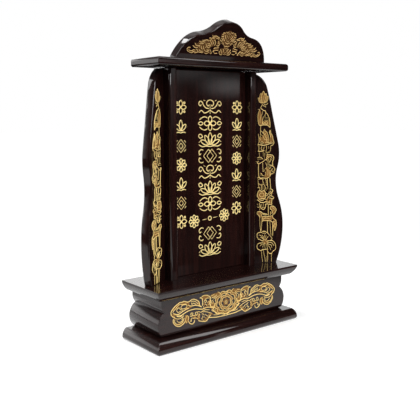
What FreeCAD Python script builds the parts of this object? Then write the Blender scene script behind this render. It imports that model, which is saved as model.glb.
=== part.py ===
import FreeCAD, Part
import math
import os
from FreeCAD import Placement, Rotation, Vector

# Lacquered rosewood ancestor tablet: a moulded base of three boards, a hollow body between two
# rails with a sliding front panel and name slips behind it, two angled wings with a wavy outline,
# and a lift-off cap made of a roof board with a forward-leaning ogee crest.
# Origin: centre of the underside. +Z up, the front faces -Y, millimetres.

SIZES = [
    # the three boards of the base
    ("base_width", 180.0, "foot slab at its widest line, left to right"),
    ("base_depth", 62.0, "foot slab, front to back"),
    ("foot_height", 11.4, "foot slab, thickness"),
    ("foot_arris_inset", 4.0, "top arris of the foot slab, in from the widest line"),
    ("foot_belly_height", 3.1, "widest line of the foot slab above the ground"),
    ("foot_under_inset", 1.7, "underside of the foot slab, in from the widest line"),
    ("waist_width", 155.6, "waist block at its top"),
    ("waist_setback", 12.3, "waist front behind the base front"),
    ("waist_height", 37.9, "waist block, height"),
    ("notch_height", 24.0, "sharp notch in the waist ends, above the foot slab"),
    ("notch_depth", 3.0, "notch, in from the waist ends"),
    ("quirk_height", 32.0, "where the upper curve of the waist ends starts, above the foot slab"),
    ("bulge_reach", 3.9, "roll of the waist ends, out from the waist ends"),
    ("bulge_height", 12.4, "widest line of the roll, above the foot slab"),
    ("waist_curl", 1.3, "waist underside, in from the waist ends"),
    ("waist_front_round", 3.3, "rounded lower front edge of the waist"),
    ("table_width", 178.6, "table slab, width at its top"),
    ("table_setback", 0.6, "table slab front behind the base front"),
    ("table_height", 9.9, "table slab, thickness"),
    ("table_lip", 1.9, "upright lip at the top of the table slab's edge"),
    ("bevel_inset", 5.2, "underside of the table slab, in from the lip"),
    ("bevel_crown", 0.6, "how far the under-bevel swells out of its chord"),
    # the hollow body
    ("body_width", 109.7, "over both rails"),
    ("body_setback", 28.7, "rail fronts behind the base front"),
    ("body_depth", 25.3, "rails, front to back"),
    ("body_height", 200.8, "rails above the table slab"),
    ("rail_width", 8.65, "each rail, left to right"),
    ("rail_outer_round", 2.0, "rounded outer front arris of a rail"),
    ("rail_inner_round", 1.4, "rounded inner front arris of a rail"),
    ("tenon_length", 7.0, "tenon under each rail"),
    ("tenon_inset", 2.0, "tenon, in from the faces of the rail"),
    ("panel_recess", 8.9, "front panel behind the rail fronts"),
    ("panel_thickness", 4.0, "front panel"),
    ("panel_drop", 0.4, "front panel below the rail tops"),
    ("groove_depth", 3.0, "grooves for the panel and rebates for the back board"),
    ("back_thickness", 4.0, "back board"),
    ("slide_gap", 0.3, "clearance all round a piece that slides"),
    ("slip_thickness", 1.5, "name slip"),
    ("slip_headroom", 16.8, "free height between the slips and the tongue"),
    ("slip_head_round", 9.0, "rounded upper corners of a slip"),
    ("slip_gap", 0.4, "between one slip and the next"),
    # the wings
    ("wing_angle", 30.8, "degrees that a wing turns forward"),
    ("wing_thickness", 8.0, "wing board"),
    ("wing_setback", 9.7, "wing face behind the rail fronts, at the rail"),
    ("wing_drop", 0.9, "top of a wing below the rail tops"),
    ("wing_round", 1.4, "rounded front arris of a wing"),
    ("wing_chamfer", 1.0, "broken back arris of a wing"),
    ("wing_foot_reach", 30.0, "reach of a wing at its foot"),
    ("wing_lower_reach", 36.5, "reach at the lower lobe"),
    ("wing_neck_reach", 28.4, "reach at the neck"),
    ("wing_upper_reach", 31.0, "reach at the upper lobe"),
    ("wing_shoulder_reach", 22.4, "reach at the shoulder"),
    # the cap
    ("cap_gap", 0.3, "roof board above the rail tops"),
    ("roof_width", 160.0, "roof board, left to right"),
    ("roof_overhang", 19.0, "roof board in front of the rails"),
    ("roof_height", 7.5, "roof board, thickness"),
    ("roof_top_round", 2.6, "rounded upper edge of the roof board"),
    ("roof_under_round", 2.2, "rounded lower edge of the roof board"),
    ("tongue_height", 6.0, "locating tongue under the roof board"),
    ("crest_width", 109.6, "crest at its foot"),
    ("crest_setback", 8.6, "crest foot behind the front of the roof board"),
    ("crest_rise", 36.7, "crest, measured up its leaning face"),
    ("crest_thickness", 9.5, "crest board"),
    ("crest_lean", 22.9, "degrees that the crest leans forward"),
    ("crest_round", 0.9, "rounded front arris of the crest"),
    ("crest_chamfer", 0.7, "broken back arris of the crest"),
    # pegs and screws
    ("peg_width", 4.0, "every square peg, across"),
    ("peg_gap", 0.05, "clearance round a peg or screw"),
    ("table_peg_length", 16.0, "pegs between waist block and table slab"),
    ("table_peg_inset_x", 14.0, "table pegs, in from the waist ends"),
    ("table_peg_inset_y", 12.0, "table pegs, in from the waist front and back"),
    ("wing_side_peg_length", 9.0, "pegs between rail and wing"),
    ("wing_side_peg_in_rail", 4.6, "part of such a peg that sits in the rail"),
    ("wing_side_peg_inset", 34.0, "such pegs, in from the ends of the rail"),
    ("wing_foot_peg_length", 12.0, "pegs under the wings"),
    ("wing_foot_peg_reach", 17.0, "such pegs, out from the rail along the wing"),
    ("crest_peg_length", 12.0, "pegs between roof board and crest"),
    ("crest_peg_spread", 30.0, "crest pegs, each side of the middle"),
    ("tongue_peg_length", 11.0, "pegs through the tongue into the roof board"),
    ("tongue_peg_spread", 28.0, "tongue pegs, each side of the middle"),
    ("foot_screw_diameter", 3.5, "screws through the foot slab"),
    ("foot_screw_head", 7.0, "their countersunk heads"),
    ("foot_screw_length", 26.0, "their length"),
    ("foot_screw_inset_x", 14.0, "foot screws, in from the waist ends"),
    ("foot_screw_inset_y", 14.0, "foot screws, in from the waist front and back"),
]
SLIP_COUNT = 4
SIDES = {"left": -1, "right": 1}
MARGIN = 5.0    # how far a cutting outline runs past the wood it cuts
SAME = 1e-4     # two places closer than this are one

doc = FreeCAD.newDocument("ancestor_tablet")
sheet = doc.addObject("Spreadsheet::Sheet", "Sizes")
for row, (alias, value, note) in enumerate(SIZES, 1):
    sheet.set(f"A{row}", note)
    sheet.set(f"B{row}", str(value))
    sheet.setAlias(f"B{row}", alias)
doc.recompute()


def size(alias):
    return float(sheet.get(alias))


# Heights of the main joints, as expressions on the sheet
WAIST_Z = "Sizes.foot_height"
TABLE_Z = WAIST_Z + " + Sizes.waist_height"
BODY_Z = TABLE_Z + " + Sizes.table_height"
ROOF_Z = BODY_Z + " + Sizes.body_height + Sizes.cap_gap"
CREST_Z = ROOF_Z + " + Sizes.roof_height"

# Places worked out once from the sheet
BACK = size("base_depth") / 2
FRONT = -BACK
WAIST_FRONT = FRONT + size("waist_setback")
WAIST_HALF = size("waist_width") / 2
TABLE_FRONT = FRONT + size("table_setback")
RAIL_FRONT = FRONT + size("body_setback")
RAIL_BACK = RAIL_FRONT + size("body_depth")
BODY_HALF = size("body_width") / 2
INNER_HALF = BODY_HALF - size("rail_width")
GROOVE_HALF = INNER_HALF + size("groove_depth")
PANEL_FRONT = RAIL_FRONT + size("panel_recess")
PANEL_BACK = PANEL_FRONT + size("panel_thickness")
CAVITY_FRONT = PANEL_BACK + size("slide_gap")
CAVITY_BACK = RAIL_BACK - size("back_thickness")
CAVITY_MIDDLE = (CAVITY_FRONT + CAVITY_BACK) / 2
ROOF_FRONT = RAIL_FRONT - size("roof_overhang")
CREST_FRONT = ROOF_FRONT + size("crest_setback")
WING_FRONT = RAIL_FRONT + size("wing_setback")
WING_ANGLE = math.radians(size("wing_angle"))
WING_PEG_REACH = size("wing_side_peg_length") - size("wing_side_peg_in_rail")
WING_PEG_Y = (WING_FRONT + size("wing_thickness") / math.cos(WING_ANGLE) / 2
              - WING_PEG_REACH / 2 * math.tan(WING_ANGLE))
CREST_MIDDLE_Y = CREST_FRONT + size("crest_thickness") / math.cos(math.radians(size("crest_lean"))) / 2
UP = Rotation()


def new_body(label, height="0"):
    """A body of the given name, raised to the height that the expression gives."""
    body = doc.addObject("PartDesign::Body", label)
    body.Label = label
    body.setExpression("Placement.Base.z", height)
    return body


def sketch_on(body, role, name, offset=0.0):
    """A sketch on one of the body's own planes, moved along the plane's normal."""
    sketch = body.newObject("Sketcher::SketchObject", name)
    plane = next(item for item in body.Origin.OriginFeatures if item.Role == role)
    sketch.AttachmentSupport = [(plane, "")]
    sketch.MapMode = "FlatFace"
    sketch.AttachmentOffset = Placement(Vector(0, 0, offset), Rotation())
    return sketch


def draw(sketch, start, steps):
    """A closed outline: each step is an end point, or a middle and an end point of an arc."""
    here = Vector(*start, 0)
    for step in list(steps) + [start]:
        if isinstance(step[0], tuple):
            middle, end = (Vector(*point, 0) for point in step)
            sketch.addGeometry(Part.Arc(here, middle, end), False)
        else:
            end = Vector(*step, 0)
            if end.distanceToPoint(here) > SAME:
                sketch.addGeometry(Part.LineSegment(here, end), False)
        here = end


def draw_box(sketch, x0, y0, x1, y1):
    draw(sketch, (x0, y0), [(x1, y0), (x1, y1), (x0, y1)])


def draw_circles(sketch, centres, radius):
    for x, y in centres:
        sketch.addGeometry(Part.Circle(Vector(x, y, 0), Vector(0, 0, 1), radius), False)


def pad(body, sketch, length, reverse=False):
    feature = body.newObject("PartDesign::Pad", sketch.Name + "_pad")
    feature.Profile = sketch
    feature.Reversed = reverse
    feature.setExpression("Length", length)
    return feature


def pocket(body, sketch, length=None, reverse=False):
    """A pocket of the given depth, or right through the body both ways."""
    feature = body.newObject("PartDesign::Pocket", sketch.Name + "_pocket")
    feature.Profile = sketch
    feature.Reversed = reverse
    if length is None:
        feature.Type = "ThroughAll"
        feature.Midplane = True
    else:
        feature.setExpression("Length", length)
    return feature


def dress(body, kind, edge_test, length, name):
    """A Fillet or Chamfer on those edges of the body's last feature that pass the test."""
    doc.recompute()
    tip = body.Tip
    names = [f"Edge{i}" for i, edge in enumerate(tip.Shape.Edges, 1) if edge_test(edge)]
    feature = body.newObject("PartDesign::" + kind, name)
    feature.Base = (tip, names)
    feature.setExpression("Radius" if kind == "Fillet" else "Size", length)
    return feature


def quarter(x, y, run, rise):
    """Arc that starts upright at (x, y) and has moved run sideways once it has climbed rise."""
    radius = (run ** 2 + rise ** 2) / (2 * abs(run))
    centre_x = x + math.copysign(radius, run)
    half_turn = math.asin(rise / radius) / 2
    middle = (centre_x - math.copysign(radius * math.cos(half_turn), run), y + radius * math.sin(half_turn))
    return middle, (x + run, y + rise)


def bowed(start, end, crown):
    """Arc from start to end that stands the crown out of its chord, to the right of the way."""
    run, rise = end[0] - start[0], end[1] - start[1]
    length = math.hypot(run, rise)
    middle = ((start[0] + end[0]) / 2 + crown * rise / length, (start[1] + end[1]) / 2 - crown * run / length)
    return middle, end


def tangent_arcs(start, heading, ends):
    """Arcs through the end points, each leaving in the direction in which the last one arrived."""
    steps = []
    here = Vector(*start, 0)
    for end in ends:
        chord = Vector(*end, 0) - here
        turn = math.atan2(chord.y, chord.x) - heading
        turn = (turn + math.pi) % (2 * math.pi) - math.pi
        half = heading + turn / 2
        reach = chord.Length / 2 / math.cos(turn / 2)
        middle = here + Vector(math.cos(half), math.sin(half), 0) * reach
        steps.append(((middle.x, middle.y), end))
        heading += 2 * turn
        here = Vector(*end, 0)
    return steps


def mirror_steps(start, steps):
    """The outline's steps walked back on the other side of x = 0, ending at the mirrored start."""
    points = [start] + [step[-1] if isinstance(step[0], tuple) else step for step in steps]
    back = []
    for point, step in zip(reversed(points[:-1]), reversed(steps)):
        end = (-point[0], point[1])
        back.append(((-step[0][0], step[0][1]), end) if isinstance(step[0], tuple) else end)
    return back


def moulded_board(label, height, half_width, edge_start, edge_steps, front, depth):
    """A board with the same moulded edge along its ends and front, mitred at the corners.

    The edge runs upwards from edge_start at the right-hand end; its back is plain."""
    body = new_body(label, height)
    section = sketch_on(body, "XZ_Plane", label + "_section", -BACK)
    last = edge_steps[-1][-1] if isinstance(edge_steps[-1][0], tuple) else edge_steps[-1]
    draw(section, edge_start, list(edge_steps) + [(-last[0], last[1])] + mirror_steps(edge_start, edge_steps))
    pad(body, section, depth)
    front_cut = sketch_on(body, "YZ_Plane", label + "_front_edge")

    def turned(point):
        return (front + half_width - point[0], point[1])

    steps = [tuple(turned(p) for p in s) if isinstance(s[0], tuple) else turned(s) for s in edge_steps]
    low, high = turned(edge_start), turned(last)
    outside = front - MARGIN
    corners = [(high[0], high[1] + MARGIN), (outside, high[1] + MARGIN), (outside, -MARGIN), (low[0], -MARGIN)]
    draw(front_cut, low, steps + corners)
    pocket(body, front_cut)
    return body


def bore(body, name, centres, radius, depth):
    """Round blind holes, sunk from the underside of the wood."""
    sketch = sketch_on(body, "XY_Plane", name)
    draw_circles(sketch, centres, radius)
    return pocket(body, sketch, depth, reverse=True)


def peg_frame(x, y, z, rotation):
    """Placement of a square peg's corner, for a peg whose foot is centred on the point."""
    half = size("peg_width") / 2
    return Placement(Vector(x, y, z), rotation) * Placement(Vector(-half, -half, 0), UP)


def peg_hole(body, name, frame, length):
    """Square hole for the peg in the frame, clear of it on every side; the frame is the body's own."""
    gap = size("peg_gap")
    hole = body.newObject("PartDesign::SubtractiveBox", name)
    hole.setExpression("Length", "Sizes.peg_width + 2 * Sizes.peg_gap")
    hole.setExpression("Width", "Sizes.peg_width + 2 * Sizes.peg_gap")
    hole.setExpression("Height", f"{length} + 2 * Sizes.peg_gap")
    hole.Placement = frame * Placement(Vector(-gap, -gap, -gap), UP)
    return hole


def countersunk_holes(body, name, centres, diameter, head):
    """Through holes with a conical seat at the underside of the board."""
    sketch = sketch_on(body, "XY_Plane", name)
    draw_circles(sketch, centres, size(diameter) / 2 + size("peg_gap"))
    pocket(body, sketch)
    for number, (x, y) in enumerate(centres, 1):
        seat = body.newObject("PartDesign::SubtractiveCone", f"{name}_seat_{number}")
        seat.setExpression("Radius1", f"Sizes.{head} / 2 + Sizes.peg_gap")
        seat.setExpression("Radius2", f"Sizes.{diameter} / 2 + Sizes.peg_gap")
        seat.setExpression("Height", f"(Sizes.{head} - Sizes.{diameter}) / 2")
        seat.Placement = Placement(Vector(x, y, 0), Rotation())


def group(label, members, height="0"):
    """Identical fasteners under one name, each a solid of its own."""
    compound = doc.addObject("Part::Compound", label)
    compound.Label = label
    compound.Links = members
    compound.setExpression("Placement.Base.z", height)
    return compound


def peg(name, frame, length):
    rod = doc.addObject("Part::Box", name)
    rod.setExpression("Length", "Sizes.peg_width")
    rod.setExpression("Width", "Sizes.peg_width")
    rod.setExpression("Height", length)
    rod.Placement = frame
    return rod


def wood_screw(name, x, y, diameter, head, length):
    """A countersunk screw that points up, its head flush with z = 0."""
    cone = doc.addObject("Part::Cone", name + "_head")
    cone.setExpression("Radius1", f"Sizes.{head} / 2")
    cone.setExpression("Radius2", f"Sizes.{diameter} / 2")
    cone.setExpression("Height", f"(Sizes.{head} - Sizes.{diameter}) / 2")
    shank = doc.addObject("Part::Cylinder", name + "_shank")
    shank.setExpression("Radius", f"Sizes.{diameter} / 2")
    shank.setExpression("Height", f"Sizes.{length}")
    screw = doc.addObject("Part::Fuse", name)
    screw.Base = cone
    screw.Tool = shank
    screw.Placement = Placement(Vector(x, y, 0), Rotation())
    return screw


def corners_of_waist(inset_x, inset_y):
    """Four places, the same distance in from the ends and from the front and back of the waist."""
    reach = WAIST_HALF - size(inset_x)
    rows = (WAIST_FRONT + size(inset_y), BACK - size(inset_y))
    return [(side * reach, y) for side in SIDES.values() for y in rows]


# Where each set of pegs stands, as frames above the named joint
def table_peg_frames():
    low = size("table_height") / 2 - size("table_peg_length")
    return [peg_frame(x, y, low, UP) for x, y in corners_of_waist("table_peg_inset_x", "table_peg_inset_y")]


def wing_side_peg_frames(side):
    inset, tall = size("wing_side_peg_inset"), size("body_height")
    x = side * (BODY_HALF - size("wing_side_peg_in_rail"))
    lying = Rotation(Vector(0, 1, 0), side * 90)
    return [peg_frame(x, WING_PEG_Y, z, lying) for z in (inset, tall / 2, tall - inset)]


def wing_foot_peg_frame(side):
    reach, half = size("wing_foot_peg_reach"), size("wing_thickness") / 2
    x = BODY_HALF + reach * math.cos(WING_ANGLE) + half * math.sin(WING_ANGLE)
    y = WING_FRONT - reach * math.sin(WING_ANGLE) + half * math.cos(WING_ANGLE)
    turned = Rotation(Vector(0, 0, 1), -side * size("wing_angle"))
    return peg_frame(side * x, y, -size("wing_foot_peg_length") / 2, turned)


def crest_peg_frames():
    spread, low = size("crest_peg_spread"), -size("crest_peg_length") / 2
    return [peg_frame(side * spread, CREST_MIDDLE_Y, low, UP) for side in SIDES.values()]


def tongue_peg_frames():
    spread = size("tongue_peg_spread")
    return [peg_frame(side * spread, CAVITY_MIDDLE, 0, UP) for side in SIDES.values()]


def lifted(frame, height):
    return Placement(Vector(0, 0, height), UP) * frame


# Base: foot slab, waist block and table slab, flush with each other at the back
def make_foot_slab():
    half = size("base_width") / 2
    belly, top = size("foot_belly_height"), size("foot_height")
    under, inset = size("foot_under_inset"), size("foot_arris_inset")
    rise_middle, _ = quarter(half, belly, -under, belly)
    under_arc = ((rise_middle[0], 2 * belly - rise_middle[1]), (half, belly))
    edge = [under_arc, quarter(half, belly, -inset, top - belly)]
    body = moulded_board("foot_slab", "0", half, (half - under, 0.0), edge, FRONT, "Sizes.base_depth")
    places = corners_of_waist("foot_screw_inset_x", "foot_screw_inset_y")
    countersunk_holes(body, "foot_screw_hole", places, "foot_screw_diameter", "foot_screw_head")
    return body


def make_waist_block():
    top, notch = size("waist_height"), size("notch_height")
    throat = (WAIST_HALF - size("notch_depth"), notch)
    heel = (WAIST_HALF - size("waist_curl"), 0.0)
    roll_middle = (WAIST_HALF + size("bulge_reach"), size("bulge_height"))
    quirk = (WAIST_HALF, size("quirk_height"))
    upper_middle, _ = quarter(*quirk, -size("notch_depth"), quirk[1] - notch)
    upper = ((upper_middle[0], 2 * quirk[1] - upper_middle[1]), quirk)
    edge = [(roll_middle, throat), upper, (WAIST_HALF, top)]
    body = new_body("waist_block", WAIST_Z)
    section = sketch_on(body, "XZ_Plane", "waist_section", -BACK)
    draw(section, heel, edge + [(-WAIST_HALF, top)] + mirror_steps(heel, edge))
    pad(body, section, "Sizes.base_depth - Sizes.waist_setback")
    radius = size("waist_front_round")
    front_cut = sketch_on(body, "YZ_Plane", "waist_front_edge")
    bend = radius * (1 - math.sqrt(0.5))
    arc = ((WAIST_FRONT + bend, bend), (WAIST_FRONT + radius, 0.0))
    outside = WAIST_FRONT - MARGIN
    draw(front_cut, (WAIST_FRONT, radius),
         [arc, (WAIST_FRONT + radius, -MARGIN), (outside, -MARGIN), (outside, radius)])
    pocket(body, front_cut)
    places = corners_of_waist("foot_screw_inset_x", "foot_screw_inset_y")
    bore(body, "foot_screw_pilot", places, size("foot_screw_diameter") / 2 + size("peg_gap"),
         "Sizes.foot_screw_length - Sizes.foot_height + Sizes.peg_gap")
    for number, frame in enumerate(table_peg_frames(), 1):
        peg_hole(body, f"waist_peg_hole_{number}", lifted(frame, top), "Sizes.table_peg_length")
    return body


def make_table_slab():
    half, top = size("table_width") / 2, size("table_height")
    start = (half - size("bevel_inset"), 0.0)
    edge = [bowed(start, (half, top - size("table_lip")), size("bevel_crown")), (half, top)]
    body = moulded_board("table_slab", TABLE_Z, half, start, edge, TABLE_FRONT,
                         "Sizes.base_depth - Sizes.table_setback")
    mortises = sketch_on(body, "XY_Plane", "rail_mortise", top)
    for side in SIDES.values():
        draw_box(mortises, *tenon_corners(side))
    pocket(body, mortises, "Sizes.tenon_length")
    for number, frame in enumerate(table_peg_frames(), 1):
        peg_hole(body, f"table_peg_hole_{number}", frame, "Sizes.table_peg_length")
    for side_name, side in SIDES.items():
        frame = lifted(wing_foot_peg_frame(side), top)
        peg_hole(body, f"{side_name}_foot_peg_hole", frame, "Sizes.wing_foot_peg_length")
    return body


# Body: rails, back board, front panel and name slips
def tenon_corners(side):
    inset = size("tenon_inset")
    outer, inner = side * (BODY_HALF - inset), side * (GROOVE_HALF - inset / 2)
    return min(outer, inner), RAIL_FRONT + inset, max(outer, inner), RAIL_BACK - size("back_thickness") - inset


def make_rail(side_name, side):
    """A rail with a groove for the front panel and a rebate for the back board."""
    body = new_body(f"{side_name}_rail", BODY_Z)
    section = sketch_on(body, "XY_Plane", f"{side_name}_rail_section")
    outer, inner, groove = side * BODY_HALF, side * INNER_HALF, side * GROOVE_HALF
    gap = size("slide_gap")
    draw(section, (outer, RAIL_FRONT), [
        (inner, RAIL_FRONT), (inner, PANEL_FRONT - gap), (groove, PANEL_FRONT - gap),
        (groove, CAVITY_FRONT), (inner, CAVITY_FRONT), (inner, CAVITY_BACK),
        (groove, CAVITY_BACK), (groove, RAIL_BACK), (outer, RAIL_BACK)])
    pad(body, section, "Sizes.body_height")
    tenon = sketch_on(body, "XY_Plane", f"{side_name}_rail_tenon")
    draw_box(tenon, *tenon_corners(side))
    pad(body, tenon, "Sizes.tenon_length", reverse=True)
    for number, frame in enumerate(wing_side_peg_frames(side), 1):
        peg_hole(body, f"{side_name}_rail_peg_hole_{number}", frame, "Sizes.wing_side_peg_length")

    def front_arris(x):
        def test(edge):
            box = edge.BoundBox
            upright = box.ZLength > size("body_height") / 2
            return upright and abs(box.XMin - x) < SAME and abs(box.YMin - RAIL_FRONT) < SAME
        return test

    dress(body, "Fillet", front_arris(outer), "Sizes.rail_outer_round", f"{side_name}_rail_outer_round")
    dress(body, "Fillet", front_arris(inner), "Sizes.rail_inner_round", f"{side_name}_rail_inner_round")
    return body


def board(label, across, through, tall, x, y, z):
    """A plain rectangular board; sizes and place are expressions on the sheet."""
    box = doc.addObject("Part::Box", label)
    box.Label = label
    box.setExpression("Length", across)
    box.setExpression("Width", through)
    box.setExpression("Height", tall)
    box.setExpression("Placement.Base.x", x)
    box.setExpression("Placement.Base.y", y)
    box.setExpression("Placement.Base.z", z)
    return box


BODY_FRONT_Y = "Sizes.body_setback - Sizes.base_depth / 2"
GROOVE_SPAN = "(Sizes.body_width - 2 * Sizes.rail_width + 2 * Sizes.groove_depth)"


def make_back_board():
    back = f"{BODY_FRONT_Y} + Sizes.body_depth - Sizes.back_thickness"
    return board("back_board", GROOVE_SPAN, "Sizes.back_thickness", "Sizes.body_height",
                 f"-{GROOVE_SPAN} / 2", back, BODY_Z)


def make_front_panel():
    across = f"({GROOVE_SPAN} - 2 * Sizes.slide_gap)"
    tall = "Sizes.body_height - Sizes.panel_drop - Sizes.slide_gap"
    return board("front_panel", across, "Sizes.panel_thickness", tall,
                 f"-{across} / 2", f"{BODY_FRONT_Y} + Sizes.panel_recess", f"{BODY_Z} + Sizes.slide_gap")


def make_name_slip(number):
    """One thin board with a rounded head; the slips stand one behind the other in the cavity."""
    body = new_body(f"name_slip_{number}", f"{BODY_Z} + Sizes.slide_gap")
    pitch = size("slip_thickness") + size("slip_gap")
    front = CAVITY_MIDDLE + (number - 1 - SLIP_COUNT / 2) * pitch + size("slip_gap") / 2
    half, head = INNER_HALF - size("slide_gap"), size("slip_head_round")
    ceiling = size("body_height") + size("cap_gap") - size("tongue_height")
    tall = ceiling - size("slide_gap") - size("slip_headroom")
    bend = head * (1 - math.sqrt(0.5))
    face = sketch_on(body, "XZ_Plane", f"slip_face_{number}", -front)
    right = [(half, tall - head), ((half - bend, tall - bend), (half - head, tall))]
    draw(face, (half, 0.0), right + [(-half + head, tall)] + mirror_steps((half, 0.0), right))
    pad(body, face, "Sizes.slip_thickness", reverse=True)
    return body


# Wings: boards with a wavy outer edge, cut to sit flat on the rails' sides
def wing_outline():
    """Outer edge of a wing from its foot up, as arcs: lower lobe, neck, upper lobe, shoulder."""
    tall = size("body_height") - size("wing_drop")
    heel = -size("wing_thickness") * math.tan(WING_ANGLE)
    foot, lower = size("wing_foot_reach"), size("wing_lower_reach")
    neck, upper, shoulder = size("wing_neck_reach"), size("wing_upper_reach"), size("wing_shoulder_reach")
    ends = [
        (lower, 0.220 * tall), (0.42 * lower + 0.58 * neck, 0.345 * tall), (neck, 0.438 * tall),
        (0.39 * neck + 0.61 * upper, 0.515 * tall), (0.98 * upper, 0.642 * tall),
        (0.45 * upper + 0.55 * shoulder, 0.736 * tall), (shoulder, 0.827 * tall),
        (0.79 * shoulder, 0.927 * tall), (heel, tall)]
    return (foot, 0.0), tangent_arcs((foot, 0.0), math.radians(70.7), ends) + [(heel, 0.0)]


def make_wing(side_name, side):
    body = new_body(f"{side_name}_wing", BODY_Z)
    thickness = size("wing_thickness")
    start, steps = wing_outline()
    if side < 0:
        start = (-start[0], start[1])
        steps = [tuple((-p[0], p[1]) for p in s) if isinstance(s[0], tuple) else (-s[0], s[1]) for s in steps]
    face = sketch_on(body, "XZ_Plane", f"{side_name}_wing_face")
    draw(face, start, steps)
    pad(body, face, "Sizes.wing_thickness", reverse=True)

    def outer_arris(y):
        def test(edge):
            box = edge.BoundBox
            flat = box.YLength < SAME and abs(box.YMin - y) < SAME
            return flat and box.ZLength > SAME and side * edge.CenterOfMass.x > 0
        return test

    dress(body, "Fillet", outer_arris(0), "Sizes.wing_round", f"{side_name}_wing_round")
    dress(body, "Chamfer", outer_arris(thickness), "Sizes.wing_chamfer", f"{side_name}_wing_chamfer")
    mitre = sketch_on(body, "XY_Plane", f"{side_name}_wing_mitre")
    far = 2 * thickness
    slope = math.tan(WING_ANGLE)
    draw(mitre, (side * MARGIN * slope, -MARGIN), [
        (-side * far, -MARGIN), (-side * far, far), (-side * far * slope, far)])
    pocket(body, mitre)
    place = Placement(Vector(side * BODY_HALF, WING_FRONT, 0),
                      Rotation(Vector(0, 0, 1), -side * size("wing_angle")))
    for number, frame in enumerate(wing_side_peg_frames(side), 1):
        peg_hole(body, f"{side_name}_wing_peg_hole_{number}", place.inverse() * frame,
                 "Sizes.wing_side_peg_length")
    peg_hole(body, f"{side_name}_wing_foot_hole", place.inverse() * wing_foot_peg_frame(side),
             "Sizes.wing_foot_peg_length")
    body.Placement.Base = place.Base
    body.Placement.Rotation = Rotation(Vector(0, 0, 1), 1)
    body.setExpression("Placement.Rotation.Angle", f"{'-' if side > 0 else ''}Sizes.wing_angle")
    return body


# Cap: roof board, crest and the tongue that drops between the rails
def make_roof_board():
    half, top = size("roof_width") / 2, size("roof_height")
    under, over = size("roof_under_round"), size("roof_top_round")
    low_bend, high_bend = under * (1 - math.sqrt(0.5)), over * (1 - math.sqrt(0.5))
    edge = [((half - low_bend, low_bend), (half, under)), (half, top - over),
            ((half - high_bend, top - high_bend), (half - over, top))]
    body = new_body("roof_board", ROOF_Z)
    section = sketch_on(body, "XZ_Plane", "roof_section", -RAIL_BACK)
    start = (half - under, 0.0)
    draw(section, start, edge + [(-half + over, top)] + mirror_steps(start, edge))
    pad(body, section, "Sizes.roof_overhang + Sizes.body_depth")
    front_cut = sketch_on(body, "YZ_Plane", "roof_front_edge")
    shift = ROOF_FRONT + half
    turned = [tuple((shift - p[0], p[1]) for p in s) if isinstance(s[0], tuple) else (shift - s[0], s[1])
              for s in edge]
    outside = ROOF_FRONT - MARGIN
    draw(front_cut, (ROOF_FRONT + under, 0.0), turned + [
        (ROOF_FRONT + over, top + MARGIN), (outside, top + MARGIN), (outside, -MARGIN),
        (ROOF_FRONT + under, -MARGIN)])
    pocket(body, front_cut)
    for number, frame in enumerate(crest_peg_frames(), 1):
        peg_hole(body, f"roof_crest_hole_{number}", lifted(frame, top), "Sizes.crest_peg_length")
    for number, frame in enumerate(tongue_peg_frames(), 1):
        frame = lifted(frame, -size("tongue_height"))
        peg_hole(body, f"roof_tongue_hole_{number}", frame, "Sizes.tongue_peg_length")
    return body


def make_cap_tongue():
    body = new_body("cap_tongue", f"{ROOF_Z} - Sizes.tongue_height")
    gap = size("slide_gap")
    outline = sketch_on(body, "XY_Plane", "tongue_outline")
    draw_box(outline, -INNER_HALF + gap, CAVITY_FRONT + gap, INNER_HALF - gap, CAVITY_BACK - gap)
    pad(body, outline, "Sizes.tongue_height")
    for number, frame in enumerate(tongue_peg_frames(), 1):
        peg_hole(body, f"tongue_hole_{number}", frame, "Sizes.tongue_peg_length")
    return body


def make_crest_board():
    """An ogee crest whose foot is cut level, so that its face leans forward."""
    body = new_body("crest_board", CREST_Z)
    half, rise, thickness = size("crest_width") / 2, size("crest_rise"), size("crest_thickness")
    lean = math.radians(size("crest_lean"))
    foot = (half, 0.0)
    ends = [(0.849 * half, 0.410 * rise), (0.567 * half, 0.636 * rise), (0.295 * half, 0.824 * rise),
            (0.0, rise)]
    arcs = tangent_arcs(foot, math.radians(107.1), ends)
    toe = (half, -thickness * math.tan(lean) - MARGIN)
    face = sketch_on(body, "XZ_Plane", "crest_face")
    draw(face, toe, [foot] + arcs + mirror_steps(toe, [foot] + arcs))
    pad(body, face, "Sizes.crest_thickness", reverse=True)

    def arris(y):
        def test(edge):
            box = edge.BoundBox
            return box.YLength < SAME and abs(box.YMin - y) < SAME and edge.CenterOfMass.z > SAME
        return test

    dress(body, "Fillet", arris(0), "Sizes.crest_round", "crest_round")
    dress(body, "Chamfer", arris(thickness), "Sizes.crest_chamfer", "crest_chamfer")
    level = sketch_on(body, "YZ_Plane", "crest_foot_cut")
    slope = math.tan(lean)
    deep = -thickness * slope - 2 * MARGIN
    draw(level, (-MARGIN, MARGIN * slope), [
        (thickness + MARGIN, -(thickness + MARGIN) * slope), (thickness + MARGIN, deep), (-MARGIN, deep)])
    pocket(body, level)
    place = Placement(Vector(0, CREST_FRONT, 0), Rotation(Vector(1, 0, 0), size("crest_lean")))
    for number, frame in enumerate(crest_peg_frames(), 1):
        peg_hole(body, f"crest_hole_{number}", place.inverse() * frame, "Sizes.crest_peg_length")
    body.Placement.Base = place.Base
    body.Placement.Rotation = Rotation(Vector(1, 0, 0), 1)
    body.setExpression("Placement.Rotation.Angle", "Sizes.crest_lean")
    return body


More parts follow.
